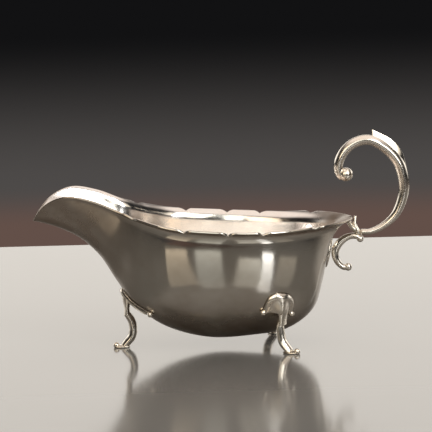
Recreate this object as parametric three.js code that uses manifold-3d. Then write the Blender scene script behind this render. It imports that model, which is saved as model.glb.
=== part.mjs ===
import * as THREE from 'three';
import Module from 'manifold-3d';
import { mergeVertices } from 'three/addons/utils/BufferGeometryUtils.js';

// Silver sauce boat on three scroll legs, with a flying scroll handle.
// Millimetres. X runs along the boat, the spout at -X and the handle at +X. Y = 0 is its middle plane.
// Z = 0 is the table under the three feet.

const wasm = await Module();
wasm.setup();

// Main sizes: the hull's reach from amidships to the tip of the spout and to the tip of the tail, its width
// over the rim, its depth from the belly up to the rim, and the height of the belly over the table
const spoutReach = 85;
const tailReach = 58.6;
const beam = 81.6;
const depth = 52;
const bellyHeight = 4.3;

// Hull: gauge of the raised sheet, and the solder line left open between two pieces
const sheet = 1.0;
const seam = 0.3;

// Hull: its lines, each station pairing a point of the keel with the point of the rim above it.
// keel is [along, up] and rim is [along, across, up], as shares of the reach, half the beam and the depth.
const spoutTip = { keel: [-1, 1.05], rim: [-1, 0, 1.05] };
const spoutFront = { keel: [-0.947, 1.031], rim: [-0.979, 0.186, 1.11] };
const spoutLip = { keel: [-0.859, 0.983], rim: [-0.918, 0.373, 1.221] };
const spoutCrest = { keel: [-0.753, 0.892], rim: [-0.806, 0.51, 1.287] };
const throat = { keel: [-0.653, 0.737], rim: [-0.671, 0.554, 1.244] };
const waist = { keel: [-0.572, 0.525], rim: [-0.547, 0.588, 1.16] };
const breast = { keel: [-0.48, 0.308], rim: [-0.429, 0.74, 1.094] };
const foreBelly = { keel: [-0.324, 0.113], rim: [-0.271, 0.922, 1.033] };
const belly = { keel: [-0.094, 0], rim: [-0.059, 1, 1] };
const aftBelly = { keel: [0.205, 0.006], rim: [0.222, 0.975, 0.981] };
const quarter = { keel: [0.486, 0.058], rim: [0.486, 0.858, 0.977] };
const shoulder = { keel: [0.686, 0.225], rim: [0.683, 0.716, 0.987] };
const stern = { keel: [0.761, 0.465], rim: [0.828, 0.551, 0.992] };
const sternTop = { keel: [0.811, 0.763], rim: [0.922, 0.358, 0.994] };
const tailRoot = { keel: [0.86, 0.929], rim: [0.98, 0.172, 0.994] };
const tailTip = { keel: [1, 0.998], rim: [1, 0, 0.998] };
const atLength = (share) => share * (share < 0 ? spoutReach : tailReach);
const atHeight = (share) => bellyHeight + share * depth;

// Hull: the everted lip under the edge, and the bracket cuts in it
const lipWidth = 2.4;
const lipTailWidth = 5.5;
const lipRise = 5.0;
const lipFade = 12;
const lipStart = 0.8;
const notchAlong = [-0.47, -0.203, 0.041, 0.31, 0.717];
const notchPlaces = notchAlong.map(atLength);
const notchDepth = 1.6;
const notchHalfWidth = 3.2;
const notchSharpness = 1.6;

// Handle: the flying scroll leaves its root behind and below the tail tip, reaches further back and rises
// to its crown. Its centre line is given as shares of that reach and rise, from root to curled end.
const handleStand = 4.0;
const handleDrop = 6.2;
const handleReach = 19.6;
const handleRise = 41.5;
const handleShape = [[0, 0], [0.2, 0], [0.48, 0.053], [0.781, 0.173], [0.969, 0.373], [1, 0.554],
  [0.878, 0.752], [0.597, 0.906], [0.224, 1], [-0.122, 0.971], [-0.378, 0.867], [-0.495, 0.728],
  [-0.423, 0.622], [-0.291, 0.631]];
const handleRoot = [tailReach + handleStand, atHeight(tailTip.rim[2]) - handleDrop];
const onHandle = ([out, up]) => [handleRoot[0] + out * handleReach, handleRoot[1] + up * handleRise];
const handleLine = handleShape.map(onHandle);
const handleRootThick = 2.6;
const handleThick = 4.8;
const handleEndThick = 4.2;
const handleRootWide = 3.6;
const handleWide = 5.6;
const handleBall = 5.4;

// Thorn: the spur on the crown of the handle, which stops the thumb
const thornRoot = onHandle([0.806, 0.819]);
const thornLength = 10.2;
const thornHeight = 12.3;
const thornThick = 4.2;
const thornBow = 1.3;
const thornInset = 0.6;
const thornPoint = 0.35;

// Handle root: the short leaf that carries the scroll under the tail of the rim
const rootWide = 4.6;
const rootThick = 2.4;
const rootSetback = 1.6;
const rootBow = 0.3;
const leafThick = 1.2;
const leafTipRise = 1.0;
const tailStart = 0.84;

// Bracket: the small C scroll between the handle root and the stern. Its line is [share, drop]: the share
// of the way from the stern wall back to the handle root, and the drop below that root.
const bracketShape = [[0.967, 3.1], [0.868, 2], [0.629, 2], [0.384, 4.2], [0.232, 7.4], [0.212, 10.8],
  [0.311, 14.1], [0.47, 15.9], [0.589, 15.8]];
const sternWall = atLength(sternTop.keel[0]);
const bracketLine = bracketShape.map(([share, drop]) => [
  THREE.MathUtils.lerp(sternWall, handleRoot[0], share), handleRoot[1] - drop]);
const bracketThick = 2.2;
const bracketBackThick = 3.2;
const bracketWide = 3.0;
const bracketTopBall = 2.8;
const bracketLowBall = 3.5;

// Stern plate: the leaf soldered to the stern wall behind the bracket, its top just over the handle root
const plateOverlap = 0.5;
const plateTop = handleRoot[1] + plateOverlap;
const plateHeight = 16.2;
const plateHalfWidth = 6.0;
const plateThick = 1.4;

// Legs: where each foot stands, as shares of the reach and of half the beam, and which way its toe points
// from +X. The right rear foot stands a little nearer to the spout than the left one.
const frontFootX = atLength(-0.555);
const frontRake = 0;
const rearLeftFootX = atLength(0.507);
const rearSetback = 5.5;
const rearRightFootX = rearLeftFootX - rearSetback;
const rearFootY = 0.652 * beam / 2;
const rearToe = 30;
const rearRake = 1.6;
const rearKneeTurn = 33;

// Legs: the casting, in its own plane, r outwards from the middle of the foot and z up. Its scroll is given
// as shares of its reach and height.
const strutReach = 3.1;
const strutThick = 2.4;
const strutWide = 5.6;
const ledgeHeight = 14.6;
const ledgeThick = 3.2;
const ledgeLap = 0.8;
const scrollReach = 6.0;
const scrollHeight = 8.2;
const scrollShape = [[0.817, 1.52], [0.938, 1.15], [0.93, 0.9], [0.78, 0.56], [0.4, 0.232]];
const scrollThick = 3.2;
const scrollEndThick = 2.6;
const ankleWide = 5.0;
const padFront = 3.6;
const padBack = 3.9;
const padWide = 5.4;
const padThick = 1.3;
const toeBall = 2.8;

// Knee plates: the shell that spreads each leg over the hull, with two volute ears
const frontKneeRise = 1.9;
const frontShoulder = 4.2;
const frontEarReach = 11.4;
const frontEarSpread = 14.2;
const rearKneeRise = 3.4;
const rearShoulder = 6.6;
const rearEarReach = 2.2;
const rearEarSpread = 7.0;
const rearKneeShift = 1.75;
const kneeFall = 2.0;
const earBall = 2.6;
const kneeThick = 1.5;
const kneeEdge = 0.7;
const kneeRib = 2.6;
const kneeRim = 0.4;

const silver = { color: 0xd9d4cb, roughness: 0.12, metalness: 1.0 };
const shadedSilver = { color: 0xc4beb4, roughness: 0.2, metalness: 1.0 };

const UP = new THREE.Vector3(0, 0, 1);
const ACROSS = new THREE.Vector3(0, 1, 0);
const onMiddle = ([x, z]) => new THREE.Vector3(x, 0, z);

// A closed solid from rows of points, each row a closed loop; a first or last row may shrink to a point
function skin(rows) {
  const around = rows[0].length;
  const positions = rows.flat().flatMap((point) => [point.x, point.y, point.z]);
  const index = [];
  for (let row = 0; row + 1 < rows.length; row += 1) {
    for (let step = 0; step < around; step += 1) {
      const next = (step + 1) % around;
      const a = row * around + step;
      const b = row * around + next;
      const c = (row + 1) * around + next;
      const d = (row + 1) * around + step;
      index.push(a, b, c, a, c, d);
    }
  }
  const geometry = new THREE.BufferGeometry();
  geometry.setAttribute('position', new THREE.Float32BufferAttribute(positions, 3));
  geometry.setIndex(index);
  return outward(welded(geometry));
}

// Merge shared corners and drop triangles that have shrunk to a line
function welded(geometry) {
  geometry.deleteAttribute('normal');
  geometry.deleteAttribute('uv');
  const merged = mergeVertices(geometry, 1e-4);
  const corners = merged.getIndex().array;
  const kept = [];
  for (let i = 0; i < corners.length; i += 3) {
    const [a, b, c] = [corners[i], corners[i + 1], corners[i + 2]];
    if (a !== b && b !== c && c !== a) kept.push(a, b, c);
  }
  merged.setIndex(kept);
  return merged;
}

// Turn a solid inside out where its faces point inwards
function outward(geometry) {
  const position = geometry.getAttribute('position');
  const corners = geometry.getIndex().array;
  const [p, q, r] = [new THREE.Vector3(), new THREE.Vector3(), new THREE.Vector3()];
  let volume = 0;
  for (let i = 0; i < corners.length; i += 3) {
    p.fromBufferAttribute(position, corners[i]);
    q.fromBufferAttribute(position, corners[i + 1]);
    r.fromBufferAttribute(position, corners[i + 2]);
    volume += p.dot(q.cross(r));
  }
  if (volume < 0) geometry.setIndex(Array.from(corners).reverse());
  return geometry;
}

function toSolid(geometry) {
  const clean = outward(welded(geometry.clone()));
  return new wasm.Manifold(new wasm.Mesh({
    numProp: 3,
    vertProperties: new Float32Array(clean.getAttribute('position').array),
    triVerts: new Uint32Array(clean.getIndex().array),
  }));
}

// The largest body of a solid as a geometry; a cut can leave a crumb beside it
function fromSolid(solid) {
  const bodies = solid.decompose().sort((a, b) => b.volume() - a.volume());
  const mesh = bodies[0].getMesh();
  const geometry = new THREE.BufferGeometry();
  geometry.setAttribute('position', new THREE.BufferAttribute(new Float32Array(mesh.vertProperties), 3));
  geometry.setIndex(Array.from(mesh.triVerts));
  return geometry;
}

function joined(geometries) {
  return fromSolid(geometries.map(toSolid).reduce((whole, next) => whole.add(next)));
}

function cutBy(geometry, cutter) {
  return fromSolid(toSolid(geometry).subtract(toSolid(cutter)));
}

function ball(centre, diameter) {
  return new THREE.SphereGeometry(diameter / 2, 10, 7).translate(centre.x, centre.y, centre.z);
}

// Hull lines
const stations = [spoutTip, spoutFront, spoutLip, spoutCrest, throat, waist, breast, foreBelly, belly,
  aftBelly, quarter, shoulder, stern, sternTop, tailRoot, tailTip];
const keelSide = stations.map(({ keel: [along, up] }) => (
  new THREE.Vector3(atLength(along), 0, atHeight(up))));
const keelLine = new THREE.CatmullRomCurve3(keelSide, false, 'centripetal');
const rimSide = stations.map(({ rim: [along, across, up] }) => (
  new THREE.Vector3(atLength(along), across * beam / 2, atHeight(up))));
const mirrored = (point) => new THREE.Vector3(point.x, -point.y, point.z);
const rimOtherSide = rimSide.slice(1, -1).reverse().map(mirrored);
const rimLoop = new THREE.CatmullRomCurve3([...rimSide, ...rimOtherSide], true, 'centripetal');

// u runs from the spout tip to the tail tip
const rimPoint = (u) => rimLoop.getPoint(u / 2);
const keelPoint = (u) => keelLine.getPoint(u);

function rimOutward(u) {
  const along = rimPoint(Math.min(u + 1e-3, 1)).sub(rimPoint(Math.max(u - 1e-3, 0)));
  return new THREE.Vector3(-along.y, along.x, 0).normalize();
}

// The value of u where the rim passes a given x
function rimStation(x) {
  let low = 0;
  let high = 1;
  for (let i = 0; i < 40; i += 1) {
    const middle = (low + high) / 2;
    if (rimPoint(middle).x < x) low = middle;
    else high = middle;
  }
  return low;
}

// How far a bracket cut takes the edge back at a point of the rim: a V with rounded shoulders
function cutBack(x) {
  const nearest = Math.min(...notchPlaces.map((place) => Math.abs(x - place)));
  const rise = Math.max(0, 1 - nearest / notchHalfWidth);
  return notchDepth * rise ** notchSharpness;
}

// The lip shrinks where the edge comes close to the keel, towards the spout tip and the tail tip
const lipShare = (gap) => 1 - Math.exp(-gap / lipFade);

// A point of the hull's outer face. v runs from the rim at -1 over the keel at 0 to the other rim at 1.
// Each section leaves the keel level, climbs as a quarter ellipse and ends in the everted lip.
function hullPoint(u, v) {
  const keel = keelPoint(u);
  const edge = rimPoint(u);
  const out = rimOutward(u);
  const fade = lipShare(edge.distanceTo(keel));
  const towardTail = THREE.MathUtils.smoothstep(u, 0.55, 0.85);
  const width = THREE.MathUtils.lerp(lipWidth, lipTailWidth, towardTail) * fade;
  const rise = lipRise * lipShare(edge.z - keel.z);
  const wallTop = edge.clone().addScaledVector(out, -width).addScaledVector(UP, -rise);
  const climb = new THREE.Vector3(wallTop.x - keel.x, 0, wallTop.z - keel.z);
  const height = Math.abs(v);
  const side = v < 0 ? -1 : 1;
  let point;
  if (height <= lipStart) {
    const turn = (height / lipStart) * Math.PI / 2;
    point = keel.clone().addScaledVector(climb, 1 - Math.cos(turn));
    point.y = wallTop.y * Math.sin(turn);
  } else {
    const length = edge.distanceTo(wallTop) || 1;
    const whole = (height - lipStart) / (1 - lipStart);
    const part = whole * (1 - fade * cutBack(edge.x) / Math.max(length, 2 * notchDepth));
    const knee = wallTop.clone().addScaledVector(climb.normalize(), 0.7 * rise);
    point = new THREE.QuadraticBezierCurve3(wallTop, knee, edge).getPoint(part);
  }
  point.y *= side;
  return point;
}

// Outward normal of the hull, from two short steps over its surface
function hullNormal(u, v) {
  const step = 2e-3;
  const uLow = THREE.MathUtils.clamp(u, step, 1 - step);
  const along = hullPoint(uLow + step, v).sub(hullPoint(uLow - step, v));
  const vLow = THREE.MathUtils.clamp(v, -1 + step, 1 - step);
  const across = hullPoint(uLow, vLow + step).sub(hullPoint(uLow, vLow - step));
  return along.cross(across).normalize().negate();
}

// The place (u, v) where two named coordinates of the hull have given values, found by Newton's method
function hullFind(target, axes, guess) {
  let [u, v] = guess;
  const step = 1e-4;
  const miss = (a, b) => {
    const point = hullPoint(a, b);
    return axes.map((axis, i) => point[axis] - target[i]);
  };
  for (let i = 0; i < 14; i += 1) {
    const now = miss(u, v);
    const du = miss(u + step, v).map((value, k) => (value - now[k]) / step);
    const dv = miss(u, v + step).map((value, k) => (value - now[k]) / step);
    const area = du[0] * dv[1] - du[1] * dv[0];
    u = THREE.MathUtils.clamp(u - (now[0] * dv[1] - now[1] * dv[0]) / area, 0.02, 0.98);
    v = THREE.MathUtils.clamp(v - (now[1] * du[0] - now[0] * du[1]) / area, -0.97, 0.97);
  }
  return [u, v];
}

const overHull = ([u, v], height) => hullPoint(u, v).addScaledVector(hullNormal(u, v), height);

// A block that holds the hull between two heights over its outer face, to cut the seat of what lies on it
function hullBlock([uLow, uHigh], [vLow, vHigh], low, high) {
  const steps = 8;
  const share = (a, b, i) => a + (b - a) * i / steps;
  const rows = [];
  for (let i = 0; i <= steps; i += 1) {
    const u = share(uLow, uHigh, i);
    const top = Array.from({ length: steps + 1 }, (_, j) => overHull([u, share(vLow, vHigh, j)], high));
    const under = Array.from({ length: steps + 1 }, (_, j) => overHull([u, share(vHigh, vLow, j)], low));
    rows.push([...top, ...under]);
  }
  const middle = (row) => row.map(() => row.reduce((sum, point) => sum.add(point), new THREE.Vector3())
    .divideScalar(row.length));
  return skin([middle(rows[0]), ...rows, middle(rows.at(-1))]);
}

// A plate on the hull. outline(turn) gives the two named coordinates of its edge from its middle, and
// thickness(share, turn) its gauge at a share of the way from the middle to that edge.
function hullPlate(middle, axes, guess, outline, thickness) {
  const around = 28;
  const rings = [0, 0.3, 0.6, 0.85, 1];
  const over = [];
  const under = [];
  for (const share of rings) {
    const places = Array.from({ length: around }, (_, step) => {
      const turn = step / around;
      const [a, b] = outline(turn);
      return { turn, place: hullFind([middle[0] + a * share, middle[1] + b * share], axes, guess) };
    });
    over.push(places.map(({ turn, place }) => overHull(place, seam + thickness(share, turn))));
    under.push(places.map(({ place }) => overHull(place, seam)));
  }
  return skin([...over, ...under.reverse()]);
}

// Body: the raised sheet, its outer face, its inner face one gauge inside, and the cut edge between them
const hullRows = 46;
const hullColumns = 12;
const rowCrowding = 0.35;
const rowGap = 0.003;
const tipShare = 0.012;

function body() {
  const places = new Set();
  for (let i = 0; i <= hullRows; i += 1) {
    const share = i / hullRows;
    places.add(THREE.MathUtils.lerp(share, (1 - Math.cos(Math.PI * share)) / 2, rowCrowding));
  }
  for (const place of notchPlaces) {
    for (const shift of [-1, -0.5, 0, 0.5, 1]) places.add(rimStation(place + shift * notchHalfWidth));
  }
  const sorted = [...places].sort((a, b) => a - b);
  const spaced = sorted.filter((u, i) => u === 0 || u === 1 || u - sorted[i - 1] > rowGap);
  const heights = [];
  for (let j = -hullColumns; j <= hullColumns; j += 1) heights.push(j / hullColumns);
  const rows = spaced.map((u) => {
    const inward = tipShare * (Math.exp(-u / (2 * tipShare)) - Math.exp(-(1 - u) / (2 * tipShare)));
    const inner = THREE.MathUtils.clamp(u + inward, tipShare, 1 - tipShare);
    const outside = heights.map((v) => hullPoint(u, v));
    const atEnd = u === 0 || u === 1;
    const inside = heights.map((v) => {
      const w = atEnd ? 0 : v;
      return hullPoint(inner, w).addScaledVector(hullNormal(inner, w), -sheet);
    });
    return [...outside, ...inside.reverse()];
  });
  return skin(rows);
}

// Section of a cast scroll: six faces, with a ridge along each side and the corners eased
const scrollSection = [[1, 0.3], [0.92, 0.45], [0.12, 0.97], [-0.12, 0.97], [-0.92, 0.45], [-1, 0.3],
  [-1, -0.3], [-0.92, -0.45], [-0.12, -0.97], [0.12, -0.97], [0.92, -0.45], [1, -0.3]];
const roundSides = 8;
const roundSection = Array.from({ length: roundSides }, (_, k) => {
  const turn = (k + 0.5) * 2 * Math.PI / roundSides;
  return [Math.cos(turn), Math.sin(turn)];
});

// A band along a line in the middle plane. thick and wide are functions of the share of its length.
function band(points, steps, thick, wide, section) {
  const line = new THREE.CatmullRomCurve3(points.map(onMiddle), false, 'centripetal');
  const rows = [];
  for (let i = 0; i <= steps; i += 1) {
    const t = i / steps;
    const centre = line.getPointAt(t);
    const along = line.getTangentAt(t);
    const outer = new THREE.Vector3(-along.z, 0, along.x);
    rows.push(section.map(([a, b]) => centre.clone()
      .addScaledVector(outer, a * thick(t) / 2)
      .addScaledVector(ACROSS, b * wide(t) / 2)));
  }
  const shut = (t) => section.map(() => line.getPointAt(t));
  return skin([shut(0), ...rows, shut(1)]);
}

// A value that grows from low to high over the first two fifths of a band
const swell = (low, high, t) => THREE.MathUtils.lerp(low, high, THREE.MathUtils.smoothstep(t, 0, 0.4));

// Handle: the flying scroll, its curled end and the thorn on its crown. grow widens it to cut a seam.
function handleScroll(grow = 0) {
  const towardEnd = (t) => THREE.MathUtils.smoothstep(t, 0.5, 1);
  const thick = (t) => THREE.MathUtils.lerp(handleThick, handleEndThick, towardEnd(t));
  const scroll = band(handleLine, 46,
    (t) => swell(handleRootThick, thick(t), t) + 2 * grow,
    (t) => swell(handleRootWide, handleWide, t) + 2 * grow, scrollSection);
  const curl = ball(onMiddle(handleLine.at(-1)), handleBall);
  const thornTip = [thornRoot[0] - thornLength, thornRoot[1] + thornHeight];
  const thornMiddle = [(thornRoot[0] + thornTip[0]) / 2 + thornBow, (thornRoot[1] + thornTip[1]) / 2];
  const thorn = band([thornRoot, thornMiddle, thornTip], 8,
    (t) => Math.max(thornPoint, thornThick * (1 - t)),
    (t) => Math.max(thornPoint, (handleWide - thornInset) * (1 - 0.85 * t)), roundSection);
  return joined([scroll, curl, thorn]);
}

// A block over the keel line of the tail, one seam below it, to cut the seat of the handle root
function tailBlock() {
  const tail = hullPoint(1, 0);
  const steps = 24;
  const outline = new THREE.Shape();
  outline.moveTo(hullPoint(tailStart, 0).x, tail.z + 2 * rootWide);
  for (let i = 0; i < steps; i += 1) {
    const point = overHull([THREE.MathUtils.lerp(tailStart, 1, i / steps), 0], 2 * seam);
    outline.lineTo(point.x, point.z);
  }
  outline.lineTo(tail.x + 2 * seam, tail.z - 2 * seam);
  outline.lineTo(tail.x + 2 * seam, tail.z + 2 * rootWide);
  const block = new THREE.ExtrudeGeometry(outline, { depth: 4 * rootWide, bevelEnabled: false });
  return block.rotateX(Math.PI / 2).translate(0, 2 * rootWide, 0);
}

// Handle root: a leaf from under the tail down to the foot of the scroll, its tip curled up outside
function rootLeaf(grow = 0) {
  const [footX, footZ] = handleRoot;
  const tail = hullPoint(1, 0);
  const foot = [footX - seam - rootThick / 2, footZ];
  const top = [tail.x - rootSetback, tail.z];
  const bend = [(foot[0] + top[0]) / 2 - rootBow, (foot[1] + top[1]) / 2 - rootBow];
  const stem = band([foot, bend, top], 10, () => rootThick + 2 * grow,
    (t) => THREE.MathUtils.lerp(handleRootWide, rootWide, t) + 2 * grow, roundSection);
  const leafTop = [tail.x + seam + leafThick, tail.z + leafTipRise];
  const leafMiddle = [leafTop[0] - leafThick / 4, (footZ + leafTop[1]) / 2];
  const leaf = band([foot, leafMiddle, leafTop], 10,
    (t) => THREE.MathUtils.lerp(rootThick, leafThick, t) + 2 * grow,
    (t) => rootWide * Math.cos(1.2 * t) + 2 * grow, roundSection);
  return cutBy(joined([stem, leaf]), tailBlock());
}

// Stern plate: a pointed leaf on the stern wall
function sternPlate() {
  const halfHeight = plateHeight / 2;
  const outline = (turn) => {
    const angle = turn * 2 * Math.PI;
    const bulge = Math.sin(angle) * Math.sqrt(Math.abs(Math.sin(angle)));
    return [plateHalfWidth * bulge * (1 - 0.25 * Math.cos(angle)), halfHeight * Math.cos(angle)];
  };
  const thickness = (share) => THREE.MathUtils.lerp(plateThick, plateThick / 2, share ** 2);
  return hullPlate([0, plateTop - halfHeight], ['y', 'z'], [tailStart, 0], outline, thickness);
}

// Bracket: the C scroll with a ball at each end, seated on the stern plate and under the handle root
function bracketScroll() {
  const thick = (t) => THREE.MathUtils.lerp(bracketThick, bracketBackThick, Math.sin(Math.PI * t) ** 3);
  const scroll = band(bracketLine, 28, thick, () => bracketWide, scrollSection);
  const whole = joined([scroll, ball(onMiddle(bracketLine[0]), bracketTopBall),
    ball(onMiddle(bracketLine.at(-1)), bracketLowBall)]);
  const sternBlock = hullBlock([0.78, 0.93], [-0.4, 0.4], -4 * sheet, plateThick + 2 * seam);
  return [sternBlock, rootLeaf(seam), handleScroll(seam)].reduce(cutBy, whole);
}

// Legs: each has a frame with its origin in the middle of its foot and X along its toe
function footFrame(x, y, toe) {
  const frame = new THREE.Group();
  frame.position.set(x, y, 0);
  frame.rotation.z = THREE.MathUtils.degToRad(toe);
  frame.updateMatrixWorld(true);
  return frame;
}

const intoFrame = (geometry, frame) => geometry.clone().applyMatrix4(frame.matrixWorld.clone().invert());

function seatOf(frame, rake) {
  const middle = new THREE.Vector3(-strutReach - rake, 0, 0).applyMatrix4(frame.matrixWorld);
  const guess = middle.x < 0 ? [0.4, 0.05] : [0.65, Math.sign(middle.y) * 0.4];
  return { middle, place: hullFind([middle.x, middle.y], ['x', 'y'], guess) };
}

// Leg: a cast strut down to a ledge, a C scroll under it, and a pad foot with a toe ball
function leg(frame, rake) {
  const { place } = seatOf(frame, rake);
  const top = hullPoint(...place).z + kneeThick;
  const strutLine = [[-strutReach - rake, top], [-strutReach - rake, ledgeHeight]];
  const strut = band(strutLine, 6, (t) => THREE.MathUtils.lerp(strutThick, ledgeThick, t ** 4),
    (t) => THREE.MathUtils.lerp(strutWide, ankleWide, t), scrollSection);
  const lean = (share) => rake * THREE.MathUtils.smoothstep(share, 0.9, 1.8);
  const scrollLine = [[-strutReach - rake, ledgeHeight + ledgeLap],
    ...scrollShape.map(([out, up]) => [-out * scrollReach - lean(up), up * scrollHeight]),
    [-padThick, padThick / 2]];
  const scroll = band(scrollLine, 18,
    (t) => THREE.MathUtils.lerp(scrollEndThick, scrollThick, Math.sin(Math.PI * t)),
    () => ankleWide, scrollSection);
  const pad = band([[-padBack, padThick / 3], [padFront - toeBall / 2, padThick / 3]], 8,
    (t) => padThick * 4 / 3 * (0.6 + 0.4 * Math.sin(Math.PI * t)),
    (t) => padWide * (0.55 + 0.45 * Math.sin(Math.PI * (0.15 + 0.7 * t))), roundSection);
  const toe = ball(new THREE.Vector3(padFront - toeBall / 2, 0, padThick * 0.8), toeBall);
  const whole = joined([strut, scroll, pad, toe]);
  const groundSpan = 4 * (padFront + padBack);
  const ground = new THREE.BoxGeometry(groundSpan, groundSpan, groundSpan).translate(0, 0, -groundSpan / 2);
  const [u, v] = place;
  const block = hullBlock([u - 0.07, u + 0.07], [v - 0.3, v + 0.3], -4 * kneeThick, kneeThick + 2 * seam);
  return [ground, intoFrame(block, frame)].reduce(cutBy, whole);
}

// Knee plate: a shell on the hull over the leg, with a rounded crown and two ears that end in volutes.
// A rib runs down its middle to the leg, a rolled rim goes round it, and it is hollow between them.
function kneePlate(frame, { rake, turn, shift, rise, shoulder, earReach, earSpread }) {
  const { middle, place } = seatOf(frame, rake);
  const facing = frame.quaternion.clone().premultiply(
    new THREE.Quaternion().setFromAxisAngle(UP, THREE.MathUtils.degToRad(turn)));
  const outwards = new THREE.Vector3(1, 0, 0).applyQuaternion(facing);
  const sideways = new THREE.Vector3(0, 1, 0).applyQuaternion(facing);
  const spot = (out, side) => [
    outwards.x * out + sideways.x * (side + shift),
    outwards.y * out + sideways.y * (side + shift)];
  const heart = spot(0, 0);
  const half = [[rise * 0.9, shoulder * 0.55], [rise * 0.4, shoulder], [-earReach, earSpread],
    [-(earReach + kneeFall) * 0.45, earSpread * 0.45]];
  const otherHalf = half.map(([out, side]) => [out, -side]).reverse();
  const corners = [[rise, 0], ...half, [-kneeFall, 0], ...otherHalf];
  const edge = new THREE.CatmullRomCurve3(
    corners.map(([out, side]) => new THREE.Vector3(out, side, 0)), true, 'centripetal');
  const outline = (share) => {
    const point = edge.getPoint(share);
    return spot(point.x, point.y).map((value, k) => value - heart[k]);
  };
  const thickness = (share, around) => {
    const aside = edge.getPoint(around).y * share;
    const rib = (kneeThick - kneeEdge) * Math.exp(-((aside / kneeRib) ** 2)) * (1 - share ** 2 / 2);
    const rim = kneeRim * Math.exp(-(((share - 0.85) / 0.12) ** 2));
    return kneeEdge + rib + rim;
  };
  const seatMiddle = [middle.x + heart[0], middle.y + heart[1]];
  const shell = hullPlate(seatMiddle, ['x', 'y'], place, outline, thickness);
  const volutes = [-1, 1].map((side) => {
    const [dx, dy] = spot(-earReach, side * earSpread);
    const [u, v] = hullFind([middle.x + dx, middle.y + dy], ['x', 'y'], place);
    const whole = ball(overHull([u, v], seam + kneeEdge), earBall);
    return cutBy(whole, hullBlock([u - 0.04, u + 0.04], [v - 0.12, v + 0.12], -4 * sheet, seam));
  });
  return intoFrame(joined([shell, ...volutes]), frame);
}

const boat = new THREE.Group();

function place(name, geometry, finish, parent = boat) {
  geometry.computeVertexNormals();
  const mesh = new THREE.Mesh(geometry, new THREE.MeshStandardMaterial(finish));
  mesh.name = name;
  parent.add(mesh);
}

place('body', body(), silver);
place('handle_scroll', handleScroll(), silver);
place('handle_root_leaf', rootLeaf(), silver);
place('bracket_scroll', bracketScroll(), silver);
place('stern_plate', sternPlate(), shadedSilver);

const frontSeat = {
  rake: frontRake,
  turn: 0,
  shift: 0,
  rise: frontKneeRise,
  shoulder: frontShoulder,
  earReach: frontEarReach,
  earSpread: frontEarSpread,
};
const rearSeat = (side) => ({
  rake: rearRake,
  turn: side * rearKneeTurn,
  shift: side * rearKneeShift,
  rise: rearKneeRise,
  shoulder: rearShoulder,
  earReach: rearEarReach,
  earSpread: rearEarSpread,
});
const feet = [
  { name: 'front', frame: footFrame(frontFootX, 0, 180), seat: frontSeat },
  { name: 'rear_left', frame: footFrame(rearLeftFootX, -rearFootY, -rearToe), seat: rearSeat(-1) },
  { name: 'rear_right', frame: footFrame(rearRightFootX, rearFootY, rearToe), seat: rearSeat(1) },
];
for (const { name, frame, seat } of feet) {
  boat.add(frame);
  place(`${name}_leg`, leg(frame, seat.rake), silver, frame);
  place(`${name}_knee_plate`, kneePlate(frame, seat), silver, frame);
}

export default boat;
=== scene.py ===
# %% [markdown]
# # A silver sauce boat on three scroll legs
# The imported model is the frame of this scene. Its solids are true in size but faceted, so each of them
# is made again here as a smooth surface worked out with numpy, in the same place, and gets a silver finish.

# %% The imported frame
import math
import bmesh
import bpy
import numpy as np
from mathutils import Matrix, Vector


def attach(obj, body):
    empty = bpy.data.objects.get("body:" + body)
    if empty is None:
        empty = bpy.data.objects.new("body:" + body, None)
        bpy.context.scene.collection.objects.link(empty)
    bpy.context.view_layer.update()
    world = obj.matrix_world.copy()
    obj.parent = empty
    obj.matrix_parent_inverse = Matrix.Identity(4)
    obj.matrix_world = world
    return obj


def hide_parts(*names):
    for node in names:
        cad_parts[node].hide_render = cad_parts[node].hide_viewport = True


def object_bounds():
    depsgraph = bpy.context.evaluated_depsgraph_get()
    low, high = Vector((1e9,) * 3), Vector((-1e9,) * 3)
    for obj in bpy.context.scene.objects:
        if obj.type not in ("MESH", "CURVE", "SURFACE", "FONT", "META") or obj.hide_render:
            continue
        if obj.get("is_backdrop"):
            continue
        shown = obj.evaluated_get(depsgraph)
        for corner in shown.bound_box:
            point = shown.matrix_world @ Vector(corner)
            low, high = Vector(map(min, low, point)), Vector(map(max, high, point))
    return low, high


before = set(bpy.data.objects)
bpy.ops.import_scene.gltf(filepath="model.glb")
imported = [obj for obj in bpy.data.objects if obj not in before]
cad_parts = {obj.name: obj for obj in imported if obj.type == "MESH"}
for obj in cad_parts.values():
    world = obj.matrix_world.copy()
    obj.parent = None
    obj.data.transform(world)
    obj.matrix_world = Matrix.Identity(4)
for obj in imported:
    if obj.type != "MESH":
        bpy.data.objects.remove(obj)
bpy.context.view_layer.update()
print("CAD nodes:", sorted(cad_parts))

# %% [markdown]
# ## The camera
# The photograph was taken from a little above the table with a long lens, square to the side of the boat.
# The eye stands about a metre away, looks 7.3 degrees down, and the picture leans 1.5 degrees. A long lens
# is a small angle of view, so the near and far sides of the rim show at almost the same scale.

# %% Camera
LENS = 200.0
SENSOR = 36.0
EYE = (-0.00068, -1.0731, 0.19645)
LOOK_DOWN = math.radians(7.305)
LOOK_ASIDE = math.radians(-0.107)
LEAN = math.radians(1.524)


def camera_axes():
    """Right, up and back: the level frame turned aside, tipped down, and leaned about its line of sight."""
    ahead = Vector((math.sin(LOOK_ASIDE) * math.cos(LOOK_DOWN),
                    math.cos(LOOK_ASIDE) * math.cos(LOOK_DOWN),
                    -math.sin(LOOK_DOWN)))
    level = Vector((math.cos(LOOK_ASIDE), -math.sin(LOOK_ASIDE), 0.0))
    above = level.cross(ahead)
    right = level * math.cos(LEAN) - above * math.sin(LEAN)
    up = level * math.sin(LEAN) + above * math.cos(LEAN)
    return right, up, -ahead


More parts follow.
